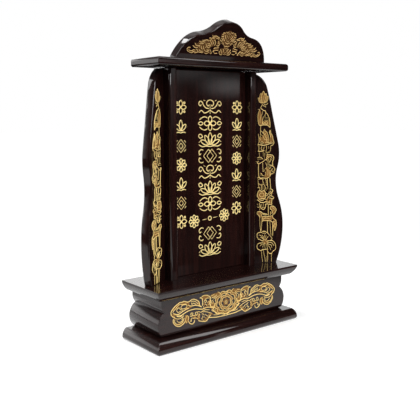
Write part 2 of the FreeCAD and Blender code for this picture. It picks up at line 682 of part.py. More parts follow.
# Pegs and screws
def make_fasteners():
    both = SIDES.values()
    sets = [
        ("table_pegs", table_peg_frames(), "Sizes.table_peg_length", TABLE_Z),
        ("wing_side_pegs", [f for side in both for f in wing_side_peg_frames(side)],
         "Sizes.wing_side_peg_length", BODY_Z),
        ("wing_foot_pegs", [wing_foot_peg_frame(side) for side in both],
         "Sizes.wing_foot_peg_length", BODY_Z),
        ("crest_pegs", crest_peg_frames(), "Sizes.crest_peg_length", CREST_Z),
        ("tongue_pegs", tongue_peg_frames(), "Sizes.tongue_peg_length", f"{ROOF_Z} - Sizes.tongue_height"),
    ]
    groups = []
    for label, frames, length, height in sets:
        rods = [peg(f"{label}_{number}", frame, length) for number, frame in enumerate(frames, 1)]
        groups.append(group(label, rods, height))
    places = corners_of_waist("foot_screw_inset_x", "foot_screw_inset_y")
    screws = [wood_screw(f"foot_screw_{i}", x, y, "foot_screw_diameter", "foot_screw_head", "foot_screw_length")
              for i, (x, y) in enumerate(places, 1)]
    groups.append(group("foot_screws", screws))
    return groups


def make_all():
    parts = [make_foot_slab(), make_waist_block(), make_table_slab(), make_back_board(), make_front_panel()]
    for side_name, side in SIDES.items():
        parts += [make_rail(side_name, side), make_wing(side_name, side)]
    parts += [make_name_slip(number) for number in range(1, SLIP_COUNT + 1)]
    parts += [make_roof_board(), make_cap_tongue(), make_crest_board()]
    return parts + make_fasteners()


def check(parts):
    """Stops the build if any object failed or any sub-part is not a sound solid."""
    for item in doc.Objects:
        if "Invalid" in item.State or "Error" in item.State:
            raise RuntimeError(f"{item.Name} failed: {item.State}")
    for item in parts:
        if item.Shape.isNull() or not item.Shape.isValid() or not item.Shape.Solids:
            raise RuntimeError(f"{item.Label} has no sound solid")


sub_parts = make_all()
doc.recompute()
check(sub_parts)
os.makedirs("parts", exist_ok=True)
for sub_part in sub_parts:
    sub_part.Shape.exportStep(f"parts/{sub_part.Label}.step")
    box = sub_part.Shape.BoundBox
    print(f"{sub_part.Label:14s} solids {len(sub_part.Shape.Solids)} volume {sub_part.Shape.Volume:10.1f}"
          f"  x {box.XMin:7.2f} {box.XMax:7.2f}  y {box.YMin:7.2f} {box.YMax:7.2f}"
          f"  z {box.ZMin:7.2f} {box.ZMax:7.2f}")
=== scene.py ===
import math

import bpy
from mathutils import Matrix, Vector
from mathutils.geometry import tessellate_polygon


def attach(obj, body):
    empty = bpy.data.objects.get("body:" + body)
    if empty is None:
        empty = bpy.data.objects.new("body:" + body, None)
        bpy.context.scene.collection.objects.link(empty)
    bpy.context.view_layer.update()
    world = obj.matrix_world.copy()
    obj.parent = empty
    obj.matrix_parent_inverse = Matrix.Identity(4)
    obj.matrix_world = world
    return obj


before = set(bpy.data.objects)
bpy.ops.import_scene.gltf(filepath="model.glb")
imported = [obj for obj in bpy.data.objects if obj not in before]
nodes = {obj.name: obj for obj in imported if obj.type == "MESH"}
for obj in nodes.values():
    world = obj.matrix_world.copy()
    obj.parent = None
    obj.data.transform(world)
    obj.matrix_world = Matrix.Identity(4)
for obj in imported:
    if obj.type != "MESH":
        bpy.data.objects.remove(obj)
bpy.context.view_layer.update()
scene = bpy.context.scene
MM = 0.001


# Materials
def new_material(name):
    material = bpy.data.materials.new(name)
    material.use_nodes = True
    tree = material.node_tree
    shader = tree.nodes["Principled BSDF"]
    return material, tree, shader


def add(tree, kind, **settings):
    node = tree.nodes.new("ShaderNode" + kind)
    for key, value in settings.items():
        setattr(node, key, value)
    return node


def set_inputs(node, values):
    for name, value in values.items():
        node.inputs[name].default_value = value


def link(output, socket):
    output.id_data.links.new(output, socket)


def stretched(tree, scale):
    """Coordinates of the object, scaled along each axis."""
    coordinate = add(tree, "TexCoord")
    mapping = add(tree, "Mapping")
    mapping.inputs["Scale"].default_value = scale
    link(coordinate.outputs["Object"], mapping.inputs["Vector"])
    return mapping.outputs["Vector"]


def noise(tree, vector, scale, detail, roughness):
    node = add(tree, "TexNoise")
    set_inputs(node, {"Scale": scale, "Detail": detail, "Roughness": roughness})
    link(vector, node.inputs["Vector"])
    return node.outputs["Fac"]


def ramp(tree, value, stops):
    node = add(tree, "ValToRGB")
    band = node.color_ramp
    while len(band.elements) < len(stops):
        band.elements.new(0.5)
    for element, (place, color) in zip(band.elements, stops):
        element.position = place
        element.color = (*color, 1.0)
    link(value, node.inputs["Fac"])
    return node.outputs["Color"]


def mapped(tree, value, low, high):
    node = add(tree, "MapRange")
    set_inputs(node, {"To Min": low, "To Max": high})
    link(value, node.inputs["Value"])
    return node.outputs["Result"]


def summed(tree, first, second, weight):
    """The first value plus a share of the second."""
    node = add(tree, "Math", operation="MULTIPLY_ADD")
    link(second, node.inputs[0])
    node.inputs[1].default_value = weight
    link(first, node.inputs[2])
    return node.outputs[0]


def bump(tree, shader, height, strength, distance):
    node = add(tree, "Bump")
    set_inputs(node, {"Strength": strength, "Distance": distance})
    link(height, node.inputs["Height"])
    link(node.outputs["Normal"], shader.inputs["Normal"])
    return node


# Scale of the textures along x, y and z; the grain is drawn out along one of them
EVEN = (1.0, 1.0, 1.0)
GRAIN = {"x": (3.0, 60.0, 60.0), "z": (60.0, 60.0, 3.0)}

# Noises as scale, detail and roughness; reliefs below as strength and depth in metres
STREAKS, PORES, CLOUDS = (6.0, 6.0, 0.6), (28.0, 3.0, 0.5), (16.0, 3.0, 0.5)
WORN_SPOTS, BROAD_PATCHES = (420.0, 4.0, 0.6), (90.0, 2.0, 0.5)
BARE_STREAKS = (7.0, 6.0, 0.6)
SCRATCHES = (300.0, 3.0, 0.6)
SCRATCH_STRETCH = (1.0, 6.0, 1.0)

# Lacquered rosewood: tones from the pores to the palest streaks, roughness under the coat, and the coat
ROSEWOOD_TONES = [(0.35, (0.0050, 0.0020, 0.0018)), (0.62, (0.0098, 0.0032, 0.0028)),
                  (0.90, (0.0230, 0.0064, 0.0050))]
PORE_SHARE_IN_TONE = 0.35
PORE_SHARE_IN_RELIEF = 0.08
ROSEWOOD_ROUGHNESS = (0.30, 0.42)
ROSEWOOD_RELIEF = (0.35, 0.0002)
LACQUER = {"Coat Weight": 1.0, "Coat IOR": 1.55, "Specular IOR Level": 0.06, "Coat Roughness": 0.05}
# Radius over which the lacquer rounds an arris, in tenths of a millimetre
SOFT_ARRIS, CRISP_ARRIS = 8, 2
TENTH_MM = 0.1 * MM
ARRIS_SAMPLES = 8


def lacquered_rosewood(axis, arris=SOFT_ARRIS):
    """Thin dark lacquer, polished, over rosewood whose red grain just shows."""
    material, tree, shader = new_material(f"lacquered_rosewood_{axis}_{arris}")
    along = stretched(tree, GRAIN[axis])
    streaks = noise(tree, along, *STREAKS)
    pores = noise(tree, along, *PORES)
    clouds = noise(tree, stretched(tree, EVEN), *CLOUDS)
    tone = summed(tree, streaks, pores, PORE_SHARE_IN_TONE)
    link(ramp(tree, tone, ROSEWOOD_TONES), shader.inputs["Base Color"])
    link(mapped(tree, clouds, *ROSEWOOD_ROUGHNESS), shader.inputs["Roughness"])
    set_inputs(shader, LACQUER)
    surface = bump(tree, shader, summed(tree, clouds, pores, PORE_SHARE_IN_RELIEF), *ROSEWOOD_RELIEF)
    rounding = add(tree, "Bevel", samples=ARRIS_SAMPLES)
    rounding.inputs["Radius"].default_value = arris * TENTH_MM
    link(rounding.outputs["Normal"], surface.inputs["Normal"])
    link(surface.outputs["Normal"], shader.inputs["Coat Normal"])
    return material


GILT_STOPS = (0.38, 0.62)
GILT_WEAR = 0.5
GILT_METALLIC = 0.15
GILT_SPECULAR = 0.5
GILT_SMOOTHEST, GILT_ROUGHEST = -0.08, 0.12
GILT_RELIEF = (0.25, 0.0001)


def gilding(name, bright, dark, roughness, shine=1.0):
    """Gold paint laid on the ornament: warm, a little uneven, worn thin in places."""
    material, tree, shader = new_material(name)
    spots = noise(tree, stretched(tree, EVEN), *WORN_SPOTS)
    broad = noise(tree, stretched(tree, EVEN), *BROAD_PATCHES)
    color = ramp(tree, summed(tree, broad, spots, GILT_WEAR), list(zip(GILT_STOPS, (dark, bright))))
    link(color, shader.inputs["Base Color"])
    set_inputs(shader, {"Metallic": GILT_METALLIC * shine, "Specular IOR Level": GILT_SPECULAR * shine})
    uneven = mapped(tree, spots, roughness + GILT_SMOOTHEST, roughness + GILT_ROUGHEST)
    link(uneven, shader.inputs["Roughness"])
    bump(tree, shader, spots, *GILT_RELIEF)
    return material


BARE_STOPS = (0.3, 0.7)
BARE_ROUGHNESS = (0.45, 0.65)
BARE_RELIEF = (0.2, 0.0002)


def bare_wood(name, light, dark, axis):
    """Planed wood without lacquer."""
    material, tree, shader = new_material(name)
    streaks = noise(tree, stretched(tree, GRAIN[axis]), *BARE_STREAKS)
    link(ramp(tree, streaks, list(zip(BARE_STOPS, (dark, light)))), shader.inputs["Base Color"])
    link(mapped(tree, streaks, *BARE_ROUGHNESS), shader.inputs["Roughness"])
    bump(tree, shader, streaks, *BARE_RELIEF)
    return material


BRASS_TONES = [(0.3, (0.42, 0.28, 0.09)), (0.7, (0.62, 0.45, 0.18))]
BRASS_ROUGHNESS = (0.25, 0.45)
BRASS_RELIEF = (0.15, 0.0001)


def brass():
    """Brass of the screws, finely scratched."""
    material, tree, shader = new_material("screw_brass")
    scratches = noise(tree, stretched(tree, SCRATCH_STRETCH), *SCRATCHES)
    link(ramp(tree, scratches, BRASS_TONES), shader.inputs["Base Color"])
    shader.inputs["Metallic"].default_value = 1.0
    link(mapped(tree, scratches, *BRASS_ROUGHNESS), shader.inputs["Roughness"])
    bump(tree, shader, scratches, *BRASS_RELIEF)
    return material


WOOD = {axis: lacquered_rosewood(axis) for axis in GRAIN}
GOLD = gilding("gilt_line", (1.0, 0.73, 0.26), (0.62, 0.34, 0.08), 0.30)
INSCRIBED = gilding("panel_gilt", (1.0, 0.80, 0.34), (0.80, 0.48, 0.12), 0.28)
GROUND = gilding("gilt_ground", (0.24, 0.12, 0.034), (0.075, 0.033, 0.012), 0.45, 0.15)
BRONZE = gilding("crest_line", (1.0, 0.68, 0.27), (0.52, 0.25, 0.06), 0.34, 0.6)
CREST_GILT = gilding("crest_ground", (0.11, 0.052, 0.018), (0.030, 0.013, 0.006), 0.45, 0.1)
SLIP = bare_wood("slip_wood", (0.26, 0.13, 0.07), (0.12, 0.055, 0.03), "z")
PEG = bare_wood("peg_wood", (0.50, 0.34, 0.18), (0.30, 0.18, 0.08), "z")
BRASS = brass()

# Material of each board and peg; the slips have their own wood
FINISH = {
    **dict.fromkeys(("foot_slab", "waist_block", "roof_board", "crest_board", "cap_tongue"), WOOD["x"]),
    "table_slab": lacquered_rosewood("x", CRISP_ARRIS),
    **dict.fromkeys(("left_rail", "right_rail", "back_board", "front_panel"), WOOD["z"]),
    **dict.fromkeys(("left_wing", "right_wing"), WOOD["z"]),
    **dict.fromkeys(("table_pegs", "wing_side_pegs", "wing_foot_pegs", "crest_pegs", "tongue_pegs"), PEG),
    "foot_screws": BRASS,
}
# Width of the softened arrises, mm
ARRIS = {
    "foot_slab": 0.7, "waist_block": 0.6, "roof_board": 0.5, "crest_board": 0.35,
    "left_wing": 0.5, "right_wing": 0.5, "left_rail": 0.2, "right_rail": 0.2, "front_panel": 0.3,
    "back_board": 0.3, "cap_tongue": 0.4,
}
ARRIS_SEGMENTS = 3
ARRIS_FROM_ANGLE = 32
WELD_GAP = 1e-6


def finish_wood(name):
    """Gives a solid its material and, where its arrises are softened, a fine round edge."""
    item = nodes[name]
    item.data.materials.clear()
    item.data.materials.append(FINISH.get(name, SLIP))
    if name in ARRIS:
        weld = item.modifiers.new("weld", "WELD")
        weld.merge_threshold = WELD_GAP
        arris = item.modifiers.new("arris", "BEVEL")
        arris.width = ARRIS[name] * MM
        arris.segments = ARRIS_SEGMENTS
        arris.limit_method = "ANGLE"
        arris.angle_limit = math.radians(ARRIS_FROM_ANGLE)
        arris.harden_normals = True
        arris.use_clamp_overlap = True


for node_name in nodes:
    finish_wood(node_name)


# Ornament, drawn flat in millimetres and laid on the wood as raised lines over low gilt patches
def smooth(points, steps=5):
    """Catmull-Rom curve through the points; closed where the last point repeats the first."""
    count = len(points)
    if count < 3:
        return [Vector(p) for p in points]
    closed = points[0] == points[-1]
    path = []
    for i in range(count - 1):
        before = points[i - 1] if i else (points[-2] if closed else points[0])
        after = points[i + 2] if i + 2 < count else (points[1] if closed else points[-1])
        p0, p1, p2, p3 = Vector(before), Vector(points[i]), Vector(points[i + 1]), Vector(after)
        for k in range(steps):
            t = k / steps
            path.append(0.5 * (2 * p1 + (p2 - p0) * t + (2 * p0 - 5 * p1 + 4 * p2 - p3) * t * t
                               + (3 * p1 - p0 - 3 * p2 + p3) * t ** 3))
    path.append(Vector(points[-1]))
    return path


def ring(cx, cy, rx, ry=None):
    """Closed ring or oval through eight points."""
    turns = [math.radians(angle) for angle in range(0, 360, 45)]
    points = [(cx + rx * math.cos(turn), cy + (ry or rx) * math.sin(turn)) for turn in turns]
    return points + points[:1]


def petal(base, angle, length, width):
    """Closed outline of a pointed petal that grows from its base."""
    along = Vector((math.cos(math.radians(angle)), math.sin(math.radians(angle))))
    across = Vector((-along.y, along.x))
    shape = ((0, 0), (0.32, 0.40), (0.70, 0.40), (1, 0), (0.70, -0.40), (0.32, -0.40), (0, 0))
    return [tuple(Vector(base) + along * (length * t) + across * (width * side)) for t, side in shape]


def ruffled(cx, cy, rx, ry, lobes, depth, turn=0):
    """Closed scalloped edge: outward bows between notches on an ellipse."""
    points = []
    for i in range(lobes):
        for part in (0.0, 0.22, 0.5, 0.78):
            angle = math.radians(turn + 360 * (i + part) / lobes)
            swell = 1 + depth * (math.sin(math.pi * part) - 0.35)
            points.append((cx + rx * swell * math.cos(angle), cy + ry * swell * math.sin(angle)))
    return points + points[:1]


def spokes(cx, cy, inner, outer, count, turn=0, squash=1.0):
    """Short straight lines between two rings."""
    strokes = []
    for i in range(count):
        angle = math.radians(turn + 360 * i / count)
        x, y = math.cos(angle), squash * math.sin(angle)
        strokes.append([(cx + r * x, cy + r * y) for r in (inner, outer)])
    return strokes


def both_sides(strokes):
    """The strokes of one half and their mirror images."""
    return strokes + [[(-x, y) for x, y in stroke] for stroke in strokes]


def shifted(strokes, dx, dy):
    return [[(x + dx, y + dy) for x, y in stroke] for stroke in strokes]


# Lotus on the wing as (across, height) in mm: fine lines, bold outlines and the gilt ground of its flowers
WING_LINES = [
    [(13.2, 228.5), (11.4, 232), (11.8, 236.5), (13.6, 240.6), (15.2, 236.5), (15.4, 232), (13.6, 228.5)],
    [(12.6, 228.6), (10.2, 231), (9.6, 234.5), (10.8, 238.4), (12, 236.6)],
    [(14.2, 228.6), (16.6, 231), (17.2, 234), (16.4, 238.2), (15.1, 236.6)],
    [(11.8, 228.4), (9.4, 229.8), (8, 233.6), (9.7, 233.2)],
    [(15, 228.6), (17.6, 230.4), (18.6, 235.4), (17.2, 234.2)], [(13.3, 230.5), (13.4, 236)],
    [(11.9, 230.8), (10.9, 234.6)], [(14.9, 230.6), (16, 234.4)],
    [(13.8, 228.3), (15.4, 226.9), (17, 227.1), (18.4, 228.6)],
    [(13, 226.8), (14.2, 225.4), (15.6, 225.4), (16.2, 224)],
    [(12.6, 228.2), (12.2, 226.2), (11.2, 224.4), (10.6, 223.4)], [(8, 222), (10.2, 222.2)],
    [(10, 222), (8.8, 219.4), (7.9, 215), (8.2, 210.6), (8.8, 206.6)], [(12.8, 220), (12.9, 216.6)],
    [(16.4, 218.6), (15.4, 216.2), (15.6, 214.2)], [(15, 213.4), (18.6, 213.2)],
    [(14.6, 211), (18.9, 210.9)], [(19.6, 212), (20.2, 206.6)],
    [(11.8, 217.4), (10.4, 212.4), (10.2, 207.6)], [(13.9, 215), (12.8, 210.4), (12.6, 207)],
    ring(17, 208.2, 1.3), ring(13.9, 208.2, 1.0), [(11, 205.4), (10.9, 200), (11, 195.6)],
    [(15, 202), (16, 199.8), (17.6, 198.8), (18.5, 197)], [(14.6, 201.4), (14.4, 197.6), (15.6, 195.4)],
    [(11, 200), (12.4, 199.2), (14.2, 196.8)], [(11, 196), (13.2, 195.2)],
    [(18.5, 197), (19.5, 194), (19.8, 190.4), (19, 187)],
    [(16, 197.8), (15.8, 194.6), (17.4, 192), (17.6, 189.4)], [(13.2, 195), (14.6, 192.4), (15.6, 190.2)],
    [(8.6, 197), (9.3, 192), (9.4, 188), (8.2, 185.6)], [(11, 195), (10.3, 192.4), (11.4, 190)],
    ring(22.2, 187.3, 1.7, 0.8), ring(12.6, 187.4, 1.3, 1.1), [(16.2, 191.4), (17.2, 190.4), (19.4, 190.6)],
    [(17.4, 195.6), (18.2, 192.4)], [(9.2, 184.6), (9.4, 180.8), (8.6, 178.8)],
    [(12.3, 183.6), (11.8, 181.4), (13, 179.2)], [(15.2, 183.4), (14, 180.4), (13.4, 179)],
    [(17.2, 184.6), (17.6, 181), (17, 178.6), (17.8, 176.6)], [(19.8, 184), (20, 181.2)],
    [(21.8, 184.4), (22, 181), (21.2, 178.4)], [(9.8, 178), (10.2, 172.6)], [(14, 178), (14.2, 173)],
    [(15.8, 177), (15.5, 171)], [(19.2, 178.4), (18.6, 175)],
    [(7.8, 171.8), (10, 172.4), (12.4, 171.8), (14, 170.2)], [(7.8, 170.4), (12.6, 170.6)],
    [(9, 168.6), (9.4, 167)], [(20.4, 173.3), (22.4, 173.1), (23.6, 171.4), (23.2, 169)],
    ring(18.8, 172.2, 1.0), [(18.6, 170.6), (20.3, 169), (20.2, 164.8)],
    [(21.8, 171.4), (21.9, 169), (21, 167.2)], [(17.4, 171.6), (18, 169.4), (19.2, 167.6)],
    [(13.6, 166.6), (13.8, 162), (14, 158)], [(19, 167), (19.3, 164)],
    [(16.8, 166.8), (17.6, 164.6), (18.6, 163)], [(20.2, 163), (20.8, 160.6), (22.2, 161.2), (22.4, 163)],
    [(24.6, 160.4), (23.2, 159), (24.2, 157.6), (24.8, 156.4)], [(16, 160), (17.4, 160.8), (18.6, 162.8)],
    [(13.4, 158), (14.8, 157.4), (15.4, 159.4)], [(16.4, 157), (17.2, 154.6), (16, 153.2)],
    [(18, 160.6), (19.4, 157), (19, 153)], [(20, 160), (21, 156.4), (20.6, 152.8)],
    [(22.6, 159), (22.4, 156.6), (21.4, 152)], [(11.4, 156), (12.6, 154.8), (13.6, 153.2), (15, 152.8)],
    [(11.6, 154.2), (12.4, 152.6)], [(8.6, 148.6), (10.4, 149.6), (15, 149.4)],
    [(8.8, 148.4), (9.2, 144.6), (9.8, 141)], [(13.6, 149.4), (14.2, 146.4), (15.4, 144)],
    [(16.8, 149.6), (17.8, 147.2), (17.6, 144.6)],
    [(9.4, 144.6), (11.2, 143.6), (12.6, 143), (13.6, 144.6)],
    [(13.4, 143.4), (12.4, 140.6), (12.6, 137.6)], [(14.2, 143.8), (16, 142.6), (16.6, 140), (16, 137.4)],
    [(14, 141.6), (14.2, 138)], [(17.4, 143.6), (19.4, 142.2), (19.2, 138.6)], [(17.4, 140.6), (18, 137)],
    [(8.2, 140.2), (10.4, 140.4), (10.6, 138)], [(20.4, 139), (22.4, 138.4)],
    [(20.6, 136.2), (22.6, 136.4), (23.2, 134.4)], ring(13, 132.6, 2.4, 2.1), ring(18.2, 132.8, 1.2),
    ring(21.4, 134, 1.0), [(21.4, 126.8), (21.8, 123.8)],
    [(11, 126.8), (14, 126.6), (15.2, 127.8), (17.2, 128.2), (18.2, 126.6)], [(17.4, 124), (20.4, 124)],
    [(12.8, 122.6), (13.2, 119.8)], [(14.9, 123.4), (14.8, 120.4)],
    [(13.4, 118.8), (14.8, 119.4), (16.4, 118.9)], [(8.2, 123), (9.2, 121.6)],
    [(8.2, 119.8), (10, 119.4), (11.2, 120.2)], [(11.2, 119.2), (11, 116.2)],
    [(24, 118.8), (26, 118), (27.6, 116.4)], [(25.4, 116.4), (27, 115.2)],
    [(22.6, 114.8), (23, 112.6), (22.4, 110.6)], [(11.8, 113.4), (13, 111.4), (12.4, 109.6)],
    [(14, 111.6), (16.6, 111), (18.4, 110.6)], [(12.8, 109.5), (18, 109.2), (24.6, 110)],
    [(14.6, 106.4), (17, 107.4), (20, 107.2), (22.4, 106.3)], [(17.4, 109), (17.6, 107.2)],
    [(23, 110), (23, 106.6)], [(10.8, 110), (11.2, 105), (11.6, 100), (12.1, 94)],
    [(13.6, 107.6), (13.4, 102), (12.9, 97), (12.4, 92.6)],
    [(22.2, 104), (22.6, 98), (23.2, 92), (23.6, 88.6)], ring(26.5, 103.4, 0.7), ring(27.6, 101, 0.7),
    ring(26.4, 99, 0.7), [(27.6, 99), (27.4, 96)], [(26, 97.6), (26.4, 96)],
    [(14.2, 90.7), (16, 91.5), (18, 90.7)], [(10.6, 89.6), (13, 88.4), (15.6, 84.4)],
    [(12, 87), (14, 86.2), (15.8, 84)], [(13.6, 89.6), (15.2, 87.6), (16.3, 84)],
    [(18.4, 89), (17.4, 86), (16.7, 83.6)], [(20.6, 88), (19, 85.4), (17.2, 83.2)],
    [(21, 90.2), (22.4, 88.6), (23.8, 86.8), (24.8, 85.4), (23.4, 83.6)],
    [(16.6, 81.4), (14, 79.4), (11.6, 77.4)], [(16.8, 81), (15.4, 78.4), (14.6, 75.4)],
    [(17.3, 80.6), (17, 77.6), (17.4, 75)], [(19.4, 81), (22.6, 81.2), (25.4, 80), (26.8, 77)],
    [(19.6, 80.4), (22, 78.8), (24, 78.2), (24.9, 75)],
    [(19.4, 80), (20.8, 77.6), (22.4, 75.8), (23.8, 72.4)], [(19, 79.6), (19.6, 76), (20.6, 73)],
    [(13.4, 72.2), (13.8, 67), (14.6, 62), (14.6, 59.8)],
    [(15.6, 73.2), (16.2, 68.4), (17.2, 64.4), (17.8, 59.8)], [(24.4, 69), (24.4, 64), (24.6, 59.8)],
    [(18.7, 66), (19, 59.8)],
]
WING_BOLD = [
    [(10.6, 223.4), (12.4, 222.2), (13.8, 221), (15.4, 220.8), (16.4, 219), (17.8, 217.4), (19.1, 215),
     (20.2, 212), (20.9, 208), (21, 203.2)],
    [(8.8, 206.5), (10.6, 205.5), (13, 206), (16, 206), (18.6, 205.7), (19.8, 204.4), (21, 203.2)],
    [(21.3, 200.8), (20.5, 198.6), (21.3, 196), (22, 193)],
    [(21.6, 200.4), (22, 197.4), (23.6, 194.8), (24.4, 190.8), (25.3, 187.4), (24, 185), (22, 184.5)],
    [(8.2, 185.1), (10, 185.5), (14, 184.8), (18, 185.6), (20.6, 186.4)],
    [(16.2, 187.6), (18, 188.4), (20, 187.2)], [(8.4, 178.6), (11, 178.6), (13.6, 178.8), (15.2, 179.6)],
    [(18.8, 177.6), (21.3, 177.9)],
    [(7.5, 168.4), (8.2, 166), (10, 165.8), (12, 166.9), (14, 167.8), (16, 169.6), (18.2, 169.8)],
    [(17.2, 174.6), (20, 175), (22.6, 174.8), (24.4, 174), (25.4, 172), (25.2, 169.8), (24.4, 168),
     (24.2, 165.6), (24.6, 163.4)], [(9.2, 165.6), (9.1, 160), (9.4, 154), (9.7, 150.8)],
    [(20, 164.4), (22, 164), (24.6, 163), (26, 161.4), (26.8, 159.2), (25.8, 157.6), (26, 156.2),
     (24.6, 155.2), (22.6, 154.4), (21.2, 151.4)],
    [(8, 150.4), (9.8, 151.6), (11.4, 150.4), (14, 150.6), (18.4, 150.3), (20.6, 151.4)],
    [(18.7, 150), (18.9, 146), (19.2, 142.8)],
    [(21.5, 150.6), (22, 146), (22.4, 141), (22.8, 138.8), (24.3, 138), (24.8, 136.6), (24, 134.8),
     (23.6, 132.2)],
    [(8.3, 133.6), (9.4, 136.6), (11, 137.1), (13, 136.4), (15.4, 137.1), (16.8, 135.4), (17.2, 133.4),
     (16.6, 131.6), (17, 129.8), (15.4, 128.7), (13, 128.5), (10.4, 128), (9.2, 129.8), (8.2, 131.4),
     (8.3, 133.6)],
    [(19.2, 128.6), (20.4, 130.6), (22.2, 131.5), (24.2, 131), (26, 129.6), (25, 128.2), (22.6, 128.9),
     (20.8, 129.2)],
    [(8, 127.6), (9.6, 126.6), (10.8, 125.4), (12, 124.6), (15, 124.4), (17.4, 125.2), (19.4, 125),
     (21.6, 124.4)], [(24.2, 128), (23.8, 125), (23.8, 122.2), (21, 122.4), (18.6, 122.8), (16.8, 122.2)],
    [(10.6, 123.6), (11.4, 121), (12.4, 118.4), (14.8, 116.9), (16.6, 118.2), (17.4, 121), (17.2, 122.6)],
    [(20.2, 121.8), (20.3, 116), (20.4, 110.4)],
    [(22.4, 119.4), (23.6, 120.4), (25.6, 120.2), (27.6, 118.8), (28.8, 116.6), (28.4, 114.6),
     (27.2, 112.6), (25.4, 111.2), (25.3, 108), (27, 106.2), (28.4, 105.2), (29.1, 102.6), (29.2, 99.6),
     (28.4, 96.4), (27.6, 93.9), (26.8, 95.4)],
    [(22.4, 119.4), (22.6, 117.4), (24.2, 116), (24.7, 113.8), (24.2, 112.2)],
    [(8.2, 113.6), (8.6, 112), (10.2, 110.4), (11.2, 108)],
    [(8, 114.2), (9.8, 114.7), (12.4, 114.3), (14, 113), (16, 112.3), (18.4, 111.8), (19.6, 111.3)],
    [(14, 108.6), (14.6, 105.6), (14, 103.6)],
    [(14.2, 104.7), (16, 105), (18, 104.8), (21, 104.7), (23.4, 104.2), (25, 102.6), (25.4, 97),
     (25.5, 88)], [(19.5, 104.6), (19.6, 98), (19.8, 91.4)], [(12.3, 96), (12.3, 92.4)],
    [(8.4, 87.6), (8.4, 90.2), (9.4, 91.7), (11, 92.2), (13.4, 92.3), (14.6, 93.2), (16.4, 93.4),
     (18, 92.6), (19.8, 91.6), (21, 90.2)],
    [(8.4, 87.6), (9.4, 86), (9.8, 84.9), (11.4, 84.8), (12.4, 83.8), (14, 83.2), (15.6, 83.6)],
    [(16.6, 90), (16.6, 86.4)],
    [(15, 82.2), (13.4, 80.7), (11, 80.6), (9.4, 79.8), (8.4, 77.8), (8.6, 75.6), (9.6, 74), (11.4, 73),
     (12.6, 72.3), (14, 73.2), (17, 73.6), (18.8, 74), (20, 72.8)],
    [(18.6, 82), (21, 83), (24, 83.2), (26, 82.4), (27.7, 80.6), (28.8, 77.6), (29, 74.8), (27.8, 72.4),
     (26.4, 71.8), (25.4, 70.4), (24.6, 69.1), (22.6, 69), (21, 70.2), (19.8, 72.6)],
    [(20, 72.4), (20.2, 66), (20.2, 59.8)],
]
WING_GROUND = [
    [(12, 228.6), (9, 230.4), (8.4, 233.2), (10.2, 235.4), (11, 238), (13.4, 240), (15.6, 238), (17, 236),
     (18.2, 233.6), (17.2, 230.4), (14.6, 228.6), (12, 228.6)],
    [(9.8, 221), (8.2, 216), (8.2, 210), (9, 207), (13, 206.4), (12.8, 211), (12, 216), (11, 220.4),
     (9.8, 221)],
    [(13.4, 209.8), (15.6, 210.4), (19.4, 210), (20.4, 206), (16, 206.4), (13.2, 206.8), (13.4, 209.8)],
    [(13.8, 196.4), (15.4, 200.6), (17.8, 198.2), (19.2, 194), (19.4, 187.6), (16, 186.2), (12, 189),
     (9.4, 187.4), (9.6, 192), (13.2, 194.2), (13.8, 196.4)],
    [(20.6, 199), (21.4, 194), (20.4, 189.4), (21.6, 188.2), (24, 188.4), (24.2, 191), (23.2, 194.6),
     (21.8, 197.6), (20.6, 199)],
    [(17.2, 160), (18.8, 162), (20.2, 160), (22.6, 157), (21.2, 152), (18, 151), (15.4, 152), (17, 155.4),
     (17.2, 160)],
    [(17.6, 174), (21, 174.4), (23.6, 173.6), (22.4, 172.4), (19.6, 171), (17.4, 170), (17.6, 174)],
    [(8.8, 133.4), (10, 136.4), (13, 136), (15.6, 136.4), (16.8, 133.4), (16.4, 130.4), (15.2, 129.2),
     (10.6, 128.6), (8.8, 131.4), (8.8, 133.4)],
    [(18, 127.6), (19.6, 130.4), (19.8, 126), (18.4, 125.4), (18, 127.6)],
    [(20.8, 127), (23.4, 127.4), (23.2, 123), (21.4, 123), (20.8, 127)],
    [(23, 119.4), (25.6, 119.8), (28, 117), (27.6, 114), (25.6, 112), (24.8, 115.6), (23, 117.4),
     (23, 119.4)],
    [(8.8, 113.8), (12, 113.8), (13.4, 110), (18, 109.4), (24.4, 109.6), (24.8, 106), (21, 105),
     (14.8, 105.2), (12.4, 108.6), (10, 111.4), (8.8, 113.8)],
    [(25.8, 104.2), (27.8, 104.8), (28.8, 101), (28.2, 97), (26.8, 96), (25.8, 99), (25.8, 104.2)],
    [(15, 83), (17, 84.4), (20.6, 83.4), (20.4, 81), (18, 79.6), (15.8, 80.6), (15, 83)],
]

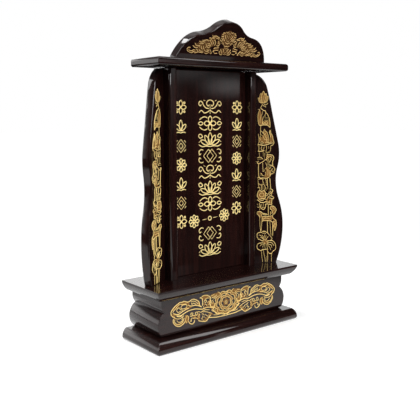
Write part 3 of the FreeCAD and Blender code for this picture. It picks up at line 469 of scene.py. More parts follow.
# Peony scroll on the waist, one half
WAIST_LINES = [
    [(49, 39.4), (52, 39.7), (54.6, 39.6), (56.8, 40.6), (58.8, 39.8), (60.6, 38.3), (62.4, 36.6),
     (64.4, 35.2), (65.2, 33.8)],
    [(48.8, 38.4), (51, 39.2), (54, 38.8), (55.6, 37.4), (54.8, 35.8), (52, 35.2), (49.4, 35.8),
     (48.6, 37.2), (48.8, 38.4)], [(57.4, 37.6), (59.8, 36.6), (61, 35)],
    [(57.6, 36.8), (56, 35.2), (53.4, 33.8)], [(60.8, 35), (59.6, 33.4), (57.6, 33), (55.8, 33.8)],
    [(60.6, 29.4), (57.6, 28.4), (55.4, 28.6), (54, 29.6)],
    [(62.6, 28), (60, 26.8), (57, 26.5), (54.6, 27.2), (52, 28.6)],
    [(62.8, 26.6), (63.2, 24.6), (61.8, 22.6), (59.6, 21.2), (57, 21.2), (54.6, 22.2), (52.4, 24)],
    [(60.6, 25.4), (58.6, 23.4), (56, 23), (53.4, 24.4), (51.4, 26.2)],
    [(54, 28), (53.4, 25.8), (54.8, 25.2)],
    [(50, 28.6), (49.4, 26.6), (50.4, 24.6), (49.8, 22.4), (48.6, 20.6)],
    [(48.4, 28), (47, 26.4), (46.8, 24.4), (47.6, 22)],
    [(45, 22), (43.4, 21.2), (43.6, 23.2), (42.4, 24.2), (40.6, 23.6), (39, 23.8), (37, 23), (34.6, 21.6)],
    [(44.6, 27.6), (43, 29.4), (41.4, 28.6), (42, 27.4), (43.4, 27.4)],
    [(45, 27), (43.6, 26), (41.6, 26.4), (39.8, 26.4), (38.4, 25.4)],
    [(38.4, 28.6), (37.2, 29.2), (36, 28.4), (36.2, 26.6), (37.6, 26), (38.4, 27.4), (38.4, 28.6)],
    [(36, 29), (33.6, 28.8), (31.6, 27.4)], [(31.8, 27.6), (29.6, 28.6), (26, 29.2), (21, 28.4)],
    [(34.6, 26.8), (33.2, 26), (34.4, 24.6), (33.6, 22.6)], [(30.6, 26), (28.6, 25.4), (27.4, 24)],
    [(31.4, 22), (30.2, 21.4), (29.2, 22.6), (29.8, 24)], [(30.6, 20.6), (27.4, 18.6)],
    [(43.4, 40), (42, 40.8), (39.8, 40.4), (38, 39.4), (36.4, 38.2), (35, 36.6)],
    [(43, 39.2), (42.6, 37.8), (41, 38.6), (39, 37.8), (37.2, 36.6)],
    [(34.2, 39.4), (33.6, 36.4), (32.4, 34.4), (30.4, 33)],
    [(27.6, 37.4), (26.6, 39.4), (24.4, 40.6), (21.6, 40.2)],
    [(26.6, 38.6), (24.8, 38.4), (25.4, 36.6), (27, 36.8)],
    [(23.6, 36.2), (21.2, 36.6), (20.8, 34.6), (22.6, 34)], [(26.8, 35), (25, 34.6), (24.4, 32.8)],
    [(28.4, 33.6), (28.4, 31)], [(30, 28), (25, 27), (21, 25.4), (18, 24)],
    [(26.6, 25), (24, 22.8), (22, 22)], [(28, 23), (25.4, 20.6)], [(17.4, 26.2), (14, 25), (11.4, 23.2)],
    [(19, 27.6), (16, 27), (13, 26.6)], [(16, 22.2), (12, 21.4), (8, 21.4)],
    [(19.4, 41.8), (16.6, 42.2), (14.6, 43.2)], [(18.4, 39.6), (15.6, 40.2), (13.4, 41.6)],
    [(17.4, 37.6), (16.4, 35.6), (17.2, 33.6)], [(19.2, 37.8), (18.6, 35), (19.8, 33)],
    [(15.2, 33.8), (14, 31.6), (16.4, 30.6), (19, 31)], [(10.6, 44.4), (8.6, 43.6), (7, 41.6)],
    [(11.8, 42), (13.6, 39.6), (16, 38)], [(3.4, 43.6), (1.4, 42.4), (0, 42.6)], [(5.2, 42.6), (6.4, 40.4)],
    [(2.2, 19.6), (0, 20.2)],
]
WAIST_BOLD = [
    [(47, 40.6), (49.5, 41.6), (52, 42.5), (54.5, 42), (57, 42.2), (59.6, 41), (62.6, 39.4), (65.4, 37),
     (67.2, 34.6), (67.1, 32.6), (66, 30.6), (64, 29.2), (62.6, 28.2)],
    [(64.6, 33), (61, 31.3), (57.6, 31.2), (54.6, 32.6), (51, 33.8), (48.6, 34.6), (46.2, 34.8)],
    [(61, 30), (56, 29.2), (52.6, 30.3), (49, 31.6), (45.6, 32.3), (42, 32.5), (38, 32.4), (33.6, 31.4),
     (29, 30.4)],
    [(64.4, 27.6), (64.8, 25), (63.4, 22.4), (61.2, 20.2), (58, 19), (55, 19.6), (52.4, 21), (50.6, 23)],
    [(47, 22), (45, 19.5), (42.4, 18.2), (40.2, 19.3), (39.3, 21.4)],
    [(47.2, 41), (44.6, 41.4), (43, 42.4), (40.6, 42.5), (38, 41.5), (36, 40.3), (34.2, 38.8), (33.6, 37),
     (33.4, 35.4)], [(47, 38), (45, 36.7), (42, 36.2), (39.4, 36.2), (36, 35.5), (33.6, 34.5), (31, 33)],
    [(33, 42), (31.6, 42.3), (30.2, 41.2), (29.6, 39), (29.4, 36.4), (29.8, 34)],
    [(30.6, 43.3), (27, 43.9), (23.4, 43.2), (20.8, 41.6), (19.6, 39.6)],
    [(35, 20.2), (32, 19), (28.6, 18), (26, 17.6), (23.6, 18.8), (22, 20.6), (19.6, 23)],
    [(22.6, 20.6), (17, 19.8), (12, 19), (6, 18.8), (0, 18.6)],
    [(30, 30.4), (25, 31.4), (20, 30.6), (15.6, 29.6)],
    [(14.6, 30), (17, 27.4), (14.4, 25.2), (12.4, 23), (9, 22), (5, 21.2), (2.4, 20.2), (0, 20.6)],
    [(20.4, 40.4), (19.8, 37), (20.4, 33.6), (19, 31)],
]
WAIST_GROUND = [
    [(65.8, 36), (63, 38.4), (59.4, 40.4), (57, 41.2), (57.6, 38.6), (60.4, 37.4), (62.6, 35.8),
     (65.8, 36)],
    [(55, 41.4), (52, 41.8), (48.4, 40.6), (45.8, 40.2), (46, 38), (48, 37), (48.6, 39.4), (52, 39.8),
     (55, 40), (55, 41.4)],
    [(46.6, 36.4), (50, 35.4), (53, 33.6), (49, 33.4), (46, 34), (42.4, 35.4), (46.6, 36.4)],
    [(66, 32.6), (63.6, 32), (61.6, 30.6), (64, 29.6), (66, 32.6)],
    [(61, 27.8), (63.8, 28.8), (63.6, 26.6), (61, 27.8)],
    [(51, 27.6), (49, 28.6), (46.4, 27), (46, 24), (47.6, 21.2), (50, 20.4), (52, 22.6), (51.2, 25),
     (51, 27.6)], [(62, 22.4), (60, 20.4), (56, 20.2), (53, 22), (56, 22.2), (59, 22.2), (62, 22.4)],
    [(35.4, 27), (33.4, 27), (33, 21), (35.2, 20.8), (36.4, 23), (35.4, 27)],
    [(41, 26.2), (38.2, 25.2), (38, 22.4), (40.2, 22.6), (41, 26.2)],
    [(40, 36.2), (36, 36.6), (34.4, 39), (33.2, 36.4), (34.6, 34.8), (40, 36.2)],
    [(30, 42.6), (26, 43.4), (22, 42.2), (23, 40.4), (27.4, 40.4), (29.2, 38.6), (30, 42.6)],
    [(23.4, 36.6), (20.4, 38.4), (20.8, 33.4), (23.8, 33), (23.4, 36.6)],
    [(28.6, 35), (26.8, 33), (28, 30.6), (24, 31), (20.6, 31), (22.6, 32.4), (26.2, 32.6), (26.4, 36.2),
     (28.6, 35)],
    [(26.8, 20.2), (23.8, 21.6), (20.8, 21), (23.6, 19), (26.6, 18.2), (29.6, 19.4), (26.8, 20.2)],
    [(23, 24), (19, 24.6), (16.6, 23), (20.6, 22.4), (23, 24)],
    [(18.8, 43), (14, 43.6), (9.2, 43.8), (6.8, 41), (9, 39.4), (11.4, 40.6), (14.4, 39.6), (18.4, 40.4),
     (18.8, 43)],
    [(19.4, 35.6), (17.6, 35), (15, 35), (14.6, 32.4), (14.4, 29), (17.2, 28), (19.6, 30), (18.6, 32.6),
     (19.4, 35.6)],
    [(13.6, 27.6), (10.4, 26.4), (7.2, 24), (4, 23), (5, 21.6), (10, 22.6), (14.4, 25.2), (13.6, 27.6)],
]

# Peony spray on the crest, one half, up from the foot of the board
CREST_LINES = [
    [(41.4, 10.1), (43.4, 10.6), (44.8, 9.4), (44.4, 7.6), (42.4, 6.4), (40, 5.7), (37.4, 6)],
    [(43, 8.6), (41.6, 7.4), (39.4, 7.6), (37, 8.6), (35.6, 8)], [(38.6, 6.8), (36, 6.6), (34.6, 5)],
    [(36, 6.4), (33.4, 6.2), (32, 7.4), (33.6, 8.8), (35, 9.4)],
    [(39.4, 12.6), (37.8, 11.2), (35.6, 10.6), (33, 10.8)],
    [(37.6, 14.8), (36, 13), (33.6, 12.4), (31, 12.8)], [(33, 16.8), (31, 16), (28.6, 16.6), (26.4, 16.2)],
    [(32.6, 14.4), (30, 14.6), (27.6, 15.2)], [(29.8, 17.8), (27, 18), (24.4, 18.6), (22.4, 17.4)],
    [(31.4, 6.6), (29.4, 6.6), (27.6, 6.2), (26, 6.6)], [(31.4, 9.4), (30, 8), (28, 7.6), (26.4, 7.8)],
    [(29.8, 12.6), (29, 10.4), (27.4, 9.6)], [(27.4, 12.8), (26.6, 10.6), (25.2, 9.6)],
    [(31.6, 12), (30.8, 10.6)], [(25.4, 9.2), (23.4, 8), (21.6, 7.8), (20, 8.4)],
    [(24, 6.2), (22, 5.6), (20.4, 6.2)], [(22.6, 9.4), (21, 9), (19.4, 9.4)],
    [(25.2, 15.2), (23.8, 12.8), (24.6, 11)], ring(21.2, 12.6, 1.4, 1.2),
    [(23.2, 14.8), (21.4, 15.4), (19.8, 14.4), (18.6, 12.8)],
    [(19, 10.2), (17.4, 8.4), (16, 6.4), (17.4, 5.8)], [(20.6, 7.2), (18.4, 6.8)],
    [(22.6, 20.4), (21, 20.6), (20.2, 18.8), (22, 18)], [(19.6, 23.2), (18.4, 21.6), (19.6, 20)],
    [(18, 22.8), (16.4, 22), (17.4, 20.4), (18.6, 21.4)],
    [(16.6, 22.8), (14.4, 22.6), (12.4, 21.8), (10.2, 21)], [(14.8, 20.8), (12.6, 20.6), (11, 19.8)],
    [(18.6, 18.8), (17.2, 17), (16, 15)], [(20.6, 17.6), (18.8, 16), (17.4, 13.8)],
    [(16.6, 19), (14.8, 18.2), (14, 15.8), (14.4, 13.6)], [(11.4, 18.4), (10.4, 17), (11, 15.4)],
    [(9.8, 19.8), (8.2, 18.6), (6.8, 18.8)], [(14.6, 10.8), (12.8, 11.6), (10.6, 11.8), (9, 13)],
    [(14.6, 9), (12.8, 9.6), (10.8, 9.4), (8.8, 9.6)], [(15, 8.2), (13.6, 7.6), (13.8, 9)],
    [(12.6, 6.6), (10.8, 6.4), (9, 6.8)], [(12.4, 14), (10.6, 13.6), (9, 14.8), (8.6, 16.6)],
    [(9, 23), (7.4, 22.8), (6.2, 23.8)], [(8.8, 24.8), (7, 25.2), (7.2, 26.4), (5, 26.2)],
    [(4.4, 27.4), (2.8, 26.6), (1.4, 27.6)], [(1.2, 25.4), (0, 26.2)], [(5, 24.6), (4, 22.4), (2.6, 20.4)],
    [(3, 24.8), (1.6, 22.4)], [(6.4, 22), (5.2, 20.4), (3.4, 18.6)], [(8.6, 21), (6.8, 20.2), (5.6, 18.4)],
    [(0, 24.2), (0, 21.2)], [(1.8, 19.4), (0, 18.4)], [(3, 17.4), (1.2, 17), (0, 16)],
    [(6.8, 16.6), (5, 16.8), (4.4, 15)], [(3.4, 14.6), (1.6, 13.6), (0, 14.2)], [(2.2, 12.4), (0, 11.4)],
    [(3.6, 11.4), (2, 10), (2.8, 8)], [(6.2, 11), (5, 9), (3.4, 6.6)],
    [(7.2, 9), (6.6, 7), (5, 5.6), (3, 5.8)], [(1.4, 8.4), (0, 7.2)], [(2.2, 6.4), (0, 5.8)],
]
CREST_GROUND = [
    [(44.6, 9.6), (43.2, 10.4), (41.6, 9.8), (42.8, 8.8), (41.6, 7.2), (38.6, 8.2), (36, 9.2), (33, 10),
     (36, 10.8), (39, 12.4), (36.6, 13), (37.2, 14.6), (34.4, 14.8), (33, 16.6), (29.4, 17.8), (26, 18.9),
     (23.4, 18.6), (22.2, 20.4), (20.2, 20.8), (19.4, 23), (16.4, 22.6), (13.6, 22.4), (10.6, 21.2),
     (10.4, 19.6), (13.8, 19.8), (15.2, 17.4), (14.8, 13.6), (17.2, 12.6), (19, 11.2), (18, 8.4),
     (16.2, 6.4), (20.6, 6), (24, 6.2), (28, 6.2), (32, 6.2), (35, 5.4), (39.4, 5.8), (43, 6.8),
     (44.6, 9.6)],
    [(0, 27.8), (3, 27.4), (6, 26.8), (8.6, 25.2), (9.2, 23), (8.8, 21), (7, 19.8), (7.2, 17.4),
     (5.6, 15.4), (3.4, 14.8), (2.4, 12.8), (0, 12.4), (0, 27.8)],
    [(12, 18.8), (10, 19), (8.4, 17.8), (9, 15), (11.6, 13.6), (12.6, 15.4), (12, 18.8)],
    [(14.4, 10.6), (11.4, 11.8), (8.6, 12.4), (8.8, 10.2), (11.6, 9.4), (14.4, 9.2), (14.4, 10.6)],
    [(12.8, 7), (9.4, 7.2), (9.6, 6.2), (12.6, 6.2), (12.8, 7)],
    [(0, 11.4), (3.2, 11.8), (6.4, 10.4), (7, 8), (5.4, 5.8), (2.4, 6.2), (0, 5.8), (0, 11.4)],
]


def waist_heart():
    """Full-blown peony at the middle of the waist: its gilt bands, and the lines along their edges."""
    x, z = 0.2, 32.4
    bands = [ruffled(x, z, 12.6, 9.8, 9, 0.16, 10), ruffled(x, z, 7.0, 6.2, 7, 0.16),
             ring(x, 32.2, 2.2, 2.4)]
    bands += spokes(x, z, 7.0, 12.4, 9, 10, 0.82) + spokes(x, z, 2.4, 7.0, 5, 18, 0.9)
    edges = [ruffled(x, z, 13.6, 10.8, 9, 0.18, 10), ruffled(x, z, 11.4, 8.8, 9, 0.12, 10),
             ruffled(x, z, 7.9, 7.1, 7, 0.18), ruffled(x, z, 5.9, 5.2, 7, 0.14), ring(x, 32.2, 1.2, 1.4)]
    return bands, edges


# Motifs of the panel, each drawn round its own middle
def cloud(cx, cz):
    """Cloud head between two scrolls."""
    half = [[(0, 6.8), (3.4, 5.6), (4.4, 2.8), (2.4, 0.8), (0.8, 2.2)],
            [(1.2, -1.6), (5.2, -1.0), (8.2, 1.6), (10.2, 4.8), (13, 5.2), (14.2, 2.6), (12.2, 1),
             (10.9, 2.6)],
            [(0, -3), (3.4, -5), (7.4, -5.8), (11, -3.4), (14, -5.6)], [(6.2, 5.8), (8.2, 6.6)]]
    return shifted(both_sides(half) + [[(0, 0.6), (0, -6.8)]], cx, cz)


def open_lotus(cx, cz):
    """Lotus of five petals with a leaf at each side."""
    half = [petal((1.0, -4.6), 58, 10.4, 4.6), petal((2.2, -4.8), 24, 10.6, 4.2),
            [(9.6, 3.0), (12, 5.6), (14.4, 4.4), (13, 1.8), (9.6, 3.0)],
            [(0, -6.8), (5, -6.2), (10, -6.6), (14.2, -4.6)], [(12.6, -1.4), (14.2, -2.4)]]
    return shifted(both_sides(half) + [petal((0, -5), 90, 11.8, 5.4)], cx, cz)


def knot(cx, cz):
    """Two lozenges that cross, and a hook at each corner."""
    half = [[(-4.2, 0), (2.2, 6.6)], [(2.2, 6.6), (8.4, 0)],
            [(8.4, 0), (2.2, -6.6)], [(2.2, -6.6), (-4.2, 0)],
            [(8.6, 5.8), (11.4, 6.4), (14, 4.6), (13.4, 1.6), (11.4, 2.6)],
            [(8.6, -5.8), (11.4, -6.4), (14, -4.6), (13.4, -1.6), (11.4, -2.6)]]
    return shifted(both_sides(half), cx, cz)


def four_petals(cx, cz):
    """Four-petalled flower between two buds."""
    half = [petal((0.9, 0), 0, 6.4, 5.0), petal((9.0, 0), 0, 5.6, 3.6),
            [(3.4, 5.2), (6.6, 6.4), (10.2, 5.6), (13.4, 3.4)],
            [(3.4, -5.2), (6.6, -6.4), (10.2, -5.6), (13.4, -3.4)]]
    upright = [petal((0, 0.9), 90, 6.2, 5.0), petal((0, -0.9), -90, 6.2, 5.0)]
    return shifted(both_sides(half) + upright + [ring(0, 0, 0.8)], cx, cz)


def rosette(cx, cz, radius=6.2):
    """Eight petals round an eye."""
    strokes = [ring(cx, cz, radius * 0.2)]
    for angle in range(0, 360, 45):
        turn, reach = math.radians(angle), 0.24 * radius
        foot = (cx + reach * math.cos(turn), cz + reach * math.sin(turn))
        strokes.append(petal(foot, angle, radius * 0.78, radius * 0.62))
    return strokes


def small_flower(cx, cz):
    """Four petals set crosswise, a dot between each two."""
    petals = [petal((cx, cz), angle, 6.4, 4.4) for angle in range(0, 360, 90)]
    return petals + [ring(cx + sx * 4.2, cz + sy * 4.2, 0.8) for sx in (-1, 1) for sy in (-1, 1)]


def small_lotus(cx, cz):
    """Lotus bud of three petals over a leaf."""
    half = [petal((0.6, -3.8), 48, 8.0, 3.8), [(0, -6), (3, -5.2), (5.8, -5.8)]]
    return shifted(both_sides(half) + [petal((0, -4), 90, 10.2, 4.4)], cx, cz)


def small_knot(cx, cz):
    """Lozenge in a lozenge, with a short stroke at each corner."""
    half = [[(0, 6.4), (5.6, 0)], [(5.6, 0), (0, -6.4)], [(0, 3.0), (2.6, 0)], [(2.6, 0), (0, -3.0)],
            [(4.0, 5.4), (5.8, 3.4)], [(4.0, -5.4), (5.8, -3.4)]]
    return shifted(both_sides(half), cx, cz)


# Columns of the panel: motifs from the top down, the height of the first and the step to the next, mm
MIDDLE_COLUMN = (cloud, four_petals, open_lotus, knot, cloud, open_lotus, four_petals)
MIDDLE_X, MIDDLE_TOP, MIDDLE_STEP = 0.4, 224.4, 16.0
SIDE_COLUMN = (small_flower, small_lotus, small_knot, rosette, small_lotus, small_knot, small_flower)
SIDE_X, SIDE_TOP, LEFT_STEP, RIGHT_STEP = 35.6, 224.0, 18.4, 17.2
# Below them a pair of rosettes joined by a ring and two dashes, then the last two motifs of the middle
ROSETTES = ((-20.0, 112.4), (19.0, 115.0))
JOINING_MARKS = [ring(0, 113.6, 2.0), [(-9.6, 112.8), (-4.4, 113.2)], [(4.4, 113.8), (9.6, 114.2)]]
LOW_KNOT, LOW_LOTUS = 98.4, 82.4


def panel_columns():
    """Three columns of lotus, cloud, flower and knot motifs."""
    strokes = []
    for i, motif in enumerate(MIDDLE_COLUMN):
        strokes += motif(MIDDLE_X, MIDDLE_TOP - MIDDLE_STEP * i)
    for x, z in ROSETTES:
        strokes += rosette(x, z)
    strokes += JOINING_MARKS + knot(MIDDLE_X, LOW_KNOT) + open_lotus(MIDDLE_X, LOW_LOTUS)
    for i, motif in enumerate(SIDE_COLUMN):
        strokes += motif(-SIDE_X, SIDE_TOP - LEFT_STEP * i) + motif(SIDE_X, SIDE_TOP - RIGHT_STEP * i)
    return strokes


class Plane:
    """A face of the object that carries ornament: its origin, its two directions and its outward side."""

    def __init__(self, origin, across, up, outward):
        self.origin = Vector(origin)
        self.across, self.up, self.out = (Vector(way).normalized() for way in (across, up, outward))
        self.flip = self.across.cross(self.up).dot(self.out) < 0

    def at(self, point, lift):
        return (self.origin + self.across * point[0] + self.up * point[1] + self.out * lift) * MM

    def facing(self, face):
        return face[::-1] if self.flip else face


def piece_from(name, vertices, faces, material, body, smooth_shading):
    mesh = bpy.data.meshes.new(name)
    mesh.from_pydata(vertices, [], faces)
    mesh.materials.append(material)
    mesh.polygons.foreach_set("use_smooth", [smooth_shading] * len(mesh.polygons))
    item = bpy.data.objects.new(name, mesh)
    scene.collection.objects.link(item)
    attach(item, body)
    return item


# Cross-section of a raised line, as shares of its width and height; its feet are sunk in the wood
LINE_PROFILE = ((-0.5, -0.15), (-0.34, 0.72), (0.0, 1.0), (0.34, 0.72), (0.5, -0.15))
SHORTEST_STEP = 0.05
CLOSED_WITHIN = 0.01
END_SIZE, END_GROWTH = 0.6, 0.25


def raised_lines(name, strokes, size, plane, material, body):
    """Rounded raised lines of one width and height along flat strokes, thinner towards open ends."""
    width, height = size
    vertices, faces = [], []
    row = len(LINE_PROFILE)
    for stroke in strokes:
        path = []
        for point in smooth(stroke):
            if not path or (point - path[-1]).length > SHORTEST_STEP:
                path.append(point)
        last = len(path) - 1
        if last < 1:
            continue
        closed = (Vector(stroke[0]) - Vector(stroke[-1])).length < CLOSED_WITHIN
        first = len(vertices)
        for i, point in enumerate(path):
            ahead = path[min(i + 1, last)] - path[max(i - 1, 0)]
            if closed and i in (0, last):
                ahead = path[1] - path[-2]
            side = Vector((-ahead.y, ahead.x)).normalized()
            taper = 1.0 if closed else min(1.0, END_SIZE + END_GROWTH * min(i, last - i))
            for offset, lift in LINE_PROFILE:
                vertices.append(plane.at(point + side * (offset * width * taper), lift * height * taper))
        for i in range(last):
            a, b = first + i * row, first + (i + 1) * row
            faces += [plane.facing((a + k, b + k, b + k + 1, a + k + 1)) for k in range(row - 1)]
        if not closed:
            end = first + last * row
            faces.append(plane.facing(tuple(range(first, first + row))))
            faces.append(plane.facing(tuple(range(end + row - 1, end - 1, -1))))
    return piece_from(name, vertices, faces, material, body, True)


GROUND_SINK = -0.05


def gilt_ground(name, outlines, height, plane, material, body):
    """Low flat patches of gilding under the lines of a flower."""
    vertices, faces = [], []
    for outline in outlines:
        path = smooth(outline)[:-1]
        first, count = len(vertices), len(path)
        area = sum(p.x * q.y - q.x * p.y for p, q in zip(path, path[1:] + path[:1]))
        if area < 0:
            path.reverse()
        vertices += [plane.at(p, height) for p in path] + [plane.at(p, GROUND_SINK) for p in path]
        for a, b, c in tessellate_polygon([[Vector((p.x, p.y, 0)) for p in path]]):
            p, q, r = path[a], path[b], path[c]
            turn = (q.x - p.x) * (r.y - p.y) - (q.y - p.y) * (r.x - p.x)
            triangle = (a, b, c) if turn > 0 else (c, b, a)
            faces.append(plane.facing(tuple(first + k for k in triangle)))
        for i in range(count):
            j = (i + 1) % count
            faces.append(plane.facing((first + i, first + count + i, first + count + j, first + j)))
    return piece_from(name, vertices, faces, material, body, False)


# Faces that carry ornament, mm and degrees
WING_TURN = math.radians(30.8)
CREST_LEAN = math.radians(22.9)
FRONT = (0, -1, 0)
ACROSS = (1, 0, 0)
UPRIGHT = (0, 0, 1)
WAIST_FACE = Plane((0, -18.7, 0), ACROSS, UPRIGHT, FRONT)
PANEL_FACE = Plane((0, 6.6, 0), ACROSS, UPRIGHT, FRONT)
CREST_FACE = Plane((0, -12.7, 267.8), ACROSS, (0, -math.sin(CREST_LEAN), math.cos(CREST_LEAN)),
                   (0, -math.cos(CREST_LEAN), -math.sin(CREST_LEAN)))
WING_X, WING_Y = 54.85, 7.4

# Width and height of the raised lines, and height of the gilt grounds, mm
WING_FINE, WING_STRONG = (0.52, 0.32), (0.74, 0.40)
WAIST_FINE, WAIST_STRONG, HEART_BAND = (0.62, 0.34), (0.90, 0.42), (2.1, 0.18)
CREST_FINE = (0.52, 0.40)
PANEL_STROKE = (1.02, 0.35)
GROUND_HEIGHT, CREST_GROUND_HEIGHT = 0.12, 0.15

for side_name, side in (("left", -1), ("right", 1)):
    outwards = (side * math.cos(WING_TURN), -math.sin(WING_TURN), 0)
    wing_face = Plane((side * WING_X, WING_Y, 0), outwards, UPRIGHT,
                      (-side * math.sin(WING_TURN), -math.cos(WING_TURN), 0))
    gilt_ground(f"{side_name}_wing_ground", WING_GROUND, GROUND_HEIGHT, wing_face, GROUND, "base")
    raised_lines(f"{side_name}_wing_lines", WING_LINES, WING_FINE, wing_face, GOLD, "base")
    raised_lines(f"{side_name}_wing_outlines", WING_BOLD, WING_STRONG, wing_face, GOLD, "base")
heart_bands, heart_edges = waist_heart()
gilt_ground("waist_ground", both_sides(WAIST_GROUND), GROUND_HEIGHT, WAIST_FACE, GROUND, "base")
raised_lines("waist_heart", heart_bands, HEART_BAND, WAIST_FACE, GROUND, "base")
raised_lines("waist_lines", both_sides(WAIST_LINES) + heart_edges, WAIST_FINE, WAIST_FACE, GOLD, "base")
raised_lines("waist_outlines", both_sides(WAIST_BOLD), WAIST_STRONG, WAIST_FACE, GOLD, "base")
gilt_ground("crest_ground", both_sides(CREST_GROUND), CREST_GROUND_HEIGHT, CREST_FACE, CREST_GILT, "cap")
raised_lines("crest_lines", both_sides(CREST_LINES), CREST_FINE, CREST_FACE, BRONZE, "cap")
raised_lines("panel_columns", panel_columns(), PANEL_STROKE, PANEL_FACE, INSCRIBED, "panel")


# Studio
def faded(tree, value, span, levels):
    """Passes smoothly from the first level to the second while the value crosses the span."""
    node = add(tree, "MapRange", interpolation_type="SMOOTHSTEP")
    link(value, node.inputs["Value"])
    set_inputs(node, {"From Min": span[0], "From Max": span[1], "To Min": levels[0], "To Max": levels[1]})
    return node.outputs["Result"]


def combined(tree, operation, first, second):
    """One arithmetic step between two values, each a number or the output of a node."""
    node = add(tree, "Math", operation=operation)
    for socket, value in zip(node.inputs, (first, second)):
        if isinstance(value, float):
            socket.default_value = value
        else:
            link(value, socket)
    return node.outputs[0]


def vector_step(tree, operation, vector, other=None):
    """One vector operation; lengths and dot products are numbers, all else is a vector."""
    node = add(tree, "VectorMath", operation=operation)
    link(vector, node.inputs[0])
    if other is not None:
        node.inputs[1].default_value = other
    return node.outputs["Value" if operation in ("LENGTH", "DOT_PRODUCT") else "Vector"]


WHITE = (1.0, 1.0, 1.0, 1.0)
FLOOR_REACH = 6.0
FLOOR_ROUGHNESS = 0.9
FLOOR_TONES = [(0.0, (0.80, 0.80, 0.80)), (1.0, (0.03, 0.03, 0.03))]
FLOOR_FADE = (0.26, 0.38)
FLOOR_LIFT = 0.36
# The table as the lacquer mirrors it: where it ends in front and at its rim, and how bright it is
TABLE_FRONT = (0.35, -1.0, 0.0)
TABLE_FRONT_EDGE = (0.185, 0.245)
TABLE_RIM = (0.50, 0.74)
TABLE_LEVEL = 0.88
BEYOND_LEVEL = 0.02


def white_floor():
    """Pale table with a soft shadow; it runs out into white, and the lacquer mirrors where it ends."""
    material, tree, shader = new_material("pale_floor")
    set_inputs(shader, {"Roughness": FLOOR_ROUGHNESS, "Specular IOR Level": 0.0, "Emission Color": WHITE})
    place = add(tree, "TexCoord").outputs["Object"]
    distance = vector_step(tree, "LENGTH", place)
    away = faded(tree, distance, FLOOR_FADE, (0.0, 1.0))
    link(ramp(tree, away, FLOOR_TONES), shader.inputs["Base Color"])
    path = add(tree, "LightPath")
    lift = faded(tree, away, (0.0, 1.0), (FLOOR_LIFT, 1.0))
    glowing = combined(tree, "MULTIPLY", path.outputs["Is Camera Ray"], lift)
    link(glowing, shader.inputs["Emission Strength"])
    forward = vector_step(tree, "DOT_PRODUCT", place, TABLE_FRONT)
    front = faded(tree, forward, TABLE_FRONT_EDGE, (TABLE_LEVEL, BEYOND_LEVEL))
    rim = faded(tree, distance, TABLE_RIM, (1.0, BEYOND_LEVEL))
    mirrored_table = add(tree, "Emission")
    link(combined(tree, "MULTIPLY", front, rim), mirrored_table.inputs["Strength"])
    choice = add(tree, "MixShader")
    link(path.outputs["Is Glossy Ray"], choice.inputs["Fac"])
    link(shader.outputs[0], choice.inputs[1])
    link(mirrored_table.outputs[0], choice.inputs[2])
    link(choice.outputs[0], tree.nodes["Material Output"].inputs["Surface"])
    return material


def lay_floor():
    mesh = bpy.data.meshes.new("floor")
    corners = [(x * FLOOR_REACH, y * FLOOR_REACH, 0) for x, y in ((-1, -1), (1, -1), (1, 1), (-1, 1))]
    mesh.from_pydata(corners, [], [tuple(range(len(corners)))])
    item = bpy.data.objects.new("floor", mesh)
    scene.collection.objects.link(item)
    mesh.materials.append(white_floor())


# The room as the lacquer mirrors it: a pale backdrop at one side, fading upwards, in a dark room
BACKDROP_SIDE = (-0.30, 0.95, 0.0)
BACKDROP_EDGE = (0.15, 0.60)
BACKDROP_TOP = (0.26, 0.44)
BACKDROP_LEVEL = 1.7
CEILING_LEVEL = 0.12
ROOM_LEVEL = 0.015
FILL_LEVEL = 0.35
# Soft patches of light in the room: direction, reach along x, y and z, level
GLOWS = [
    ((0.652, -0.757, 0.036), (0.056, 0.056, 0.021), 1.1),
    ((0.606, -0.793, 0.058), (0.060, 0.060, 0.024), 0.45),
    ((0.58, 0.62, 0.52), (0.50, 0.45, 0.40), 0.75),
    ((0.555, -0.82, 0.12), (0.045, 0.40, 0.30), 1.0),
    ((0.20, 0.47, 0.86), (0.35, 0.35, 0.30), 0.6),
    ((-0.40, -0.62, 0.67), (0.26, 0.26, 0.24), 6.0),
]


def glow(tree, direction, toward, reach, level):
    """Soft patch of light round one direction."""
    offset = vector_step(tree, "SUBTRACT", direction, Vector(toward).normalized())
    distance = vector_step(tree, "LENGTH", vector_step(tree, "DIVIDE", offset, reach))
    return faded(tree, distance, (0.0, 1.0), (level, 0.0))


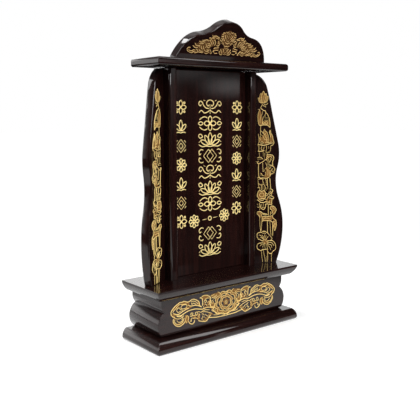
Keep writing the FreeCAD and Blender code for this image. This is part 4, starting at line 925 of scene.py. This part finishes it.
def light_room():
    """White to the camera, the room to the lacquer, an even fill to all else."""
    world = bpy.data.worlds.new("studio")
    scene.world = world
    world.use_nodes = True
    tree = world.node_tree
    background = tree.nodes["Background"]
    background.inputs["Color"].default_value = WHITE
    path = add(tree, "LightPath")
    direction = add(tree, "TexCoord").outputs["Generated"]
    facing = vector_step(tree, "DOT_PRODUCT", direction, BACKDROP_SIDE)
    height = add(tree, "SeparateXYZ")
    link(direction, height.inputs[0])
    room = combined(tree, "MULTIPLY",
                    faded(tree, facing, BACKDROP_EDGE, (ROOM_LEVEL, BACKDROP_LEVEL)),
                    faded(tree, height.outputs["Z"], BACKDROP_TOP, (1.0, CEILING_LEVEL)))
    for toward, reach, level in GLOWS:
        room = combined(tree, "ADD", room, glow(tree, direction, toward, reach, level))
    mirrored_room = combined(tree, "MULTIPLY", path.outputs["Is Glossy Ray"], room)
    seen = combined(tree, "MAXIMUM", path.outputs["Is Camera Ray"], mirrored_room)
    fill = combined(tree, "MULTIPLY", path.outputs["Is Diffuse Ray"], FILL_LEVEL)
    link(combined(tree, "MAXIMUM", seen, fill), background.inputs["Strength"])


# Lamps: name, place, target, width and height in metres, power in watts, whether the lacquer mirrors it
LAMPS = [
    ("softbox_top", (-0.42, 0.27, 1.30), (-0.42, 0.2701, 0.0), 0.30, 1.0, 10, True),
    ("softbox_left", (-1.30, 0.35, 1.00), (0, 0, 0.15), 0.45, 0.90, 7, True),
    ("softbox_front", (-0.25, -1.50, 1.05), (0, 0, 0.15), 0.90, 0.70, 16, True),
    ("softbox_right", (0.66, -0.80, 1.22), (0, 0, 0.10), 0.40, 0.90, 4.5, True),
    ("crest_fill", (0.08, -1.30, 0.08), (0, 0, 0.27), 0.30, 0.30, 5, False),
]


def area_light(name, place, target, width, height, power, mirrored_in_lacquer):
    data = bpy.data.lights.new(name, "AREA")
    data.shape = "RECTANGLE"
    data.size, data.size_y = width, height
    data.energy = power
    lamp = bpy.data.objects.new(name, data)
    scene.collection.objects.link(lamp)
    lamp.location = place
    lamp.visible_camera = False
    lamp.visible_glossy = mirrored_in_lacquer
    lamp.rotation_euler = (Vector(target) - Vector(place)).to_track_quat("-Z", "Y").to_euler()


lay_floor()
light_room()
for lamp_settings in LAMPS:
    area_light(*lamp_settings)

# Camera: focal length in pixels of the picture, sensor in mm, place in metres, angles in degrees
FOCAL_PX = 663.08
PICTURE_PX = 420.0
SENSOR_MM = 36.0
CAMERA_PLACE = (-0.41552, -0.50555, 0.22064)
CAMERA_DOWN, CAMERA_TURN = 8.51, -39.07
camera_data = bpy.data.cameras.new("photo_camera")
camera_data.sensor_width = SENSOR_MM
camera_data.lens = FOCAL_PX * SENSOR_MM / PICTURE_PX
camera = bpy.data.objects.new("photo_camera", camera_data)
scene.collection.objects.link(camera)
camera.location = CAMERA_PLACE
camera.rotation_euler = (math.radians(90 - CAMERA_DOWN), 0.0, math.radians(CAMERA_TURN))
scene.camera = camera

scene.view_settings.view_transform = "Standard"
bpy.context.view_layer.update()
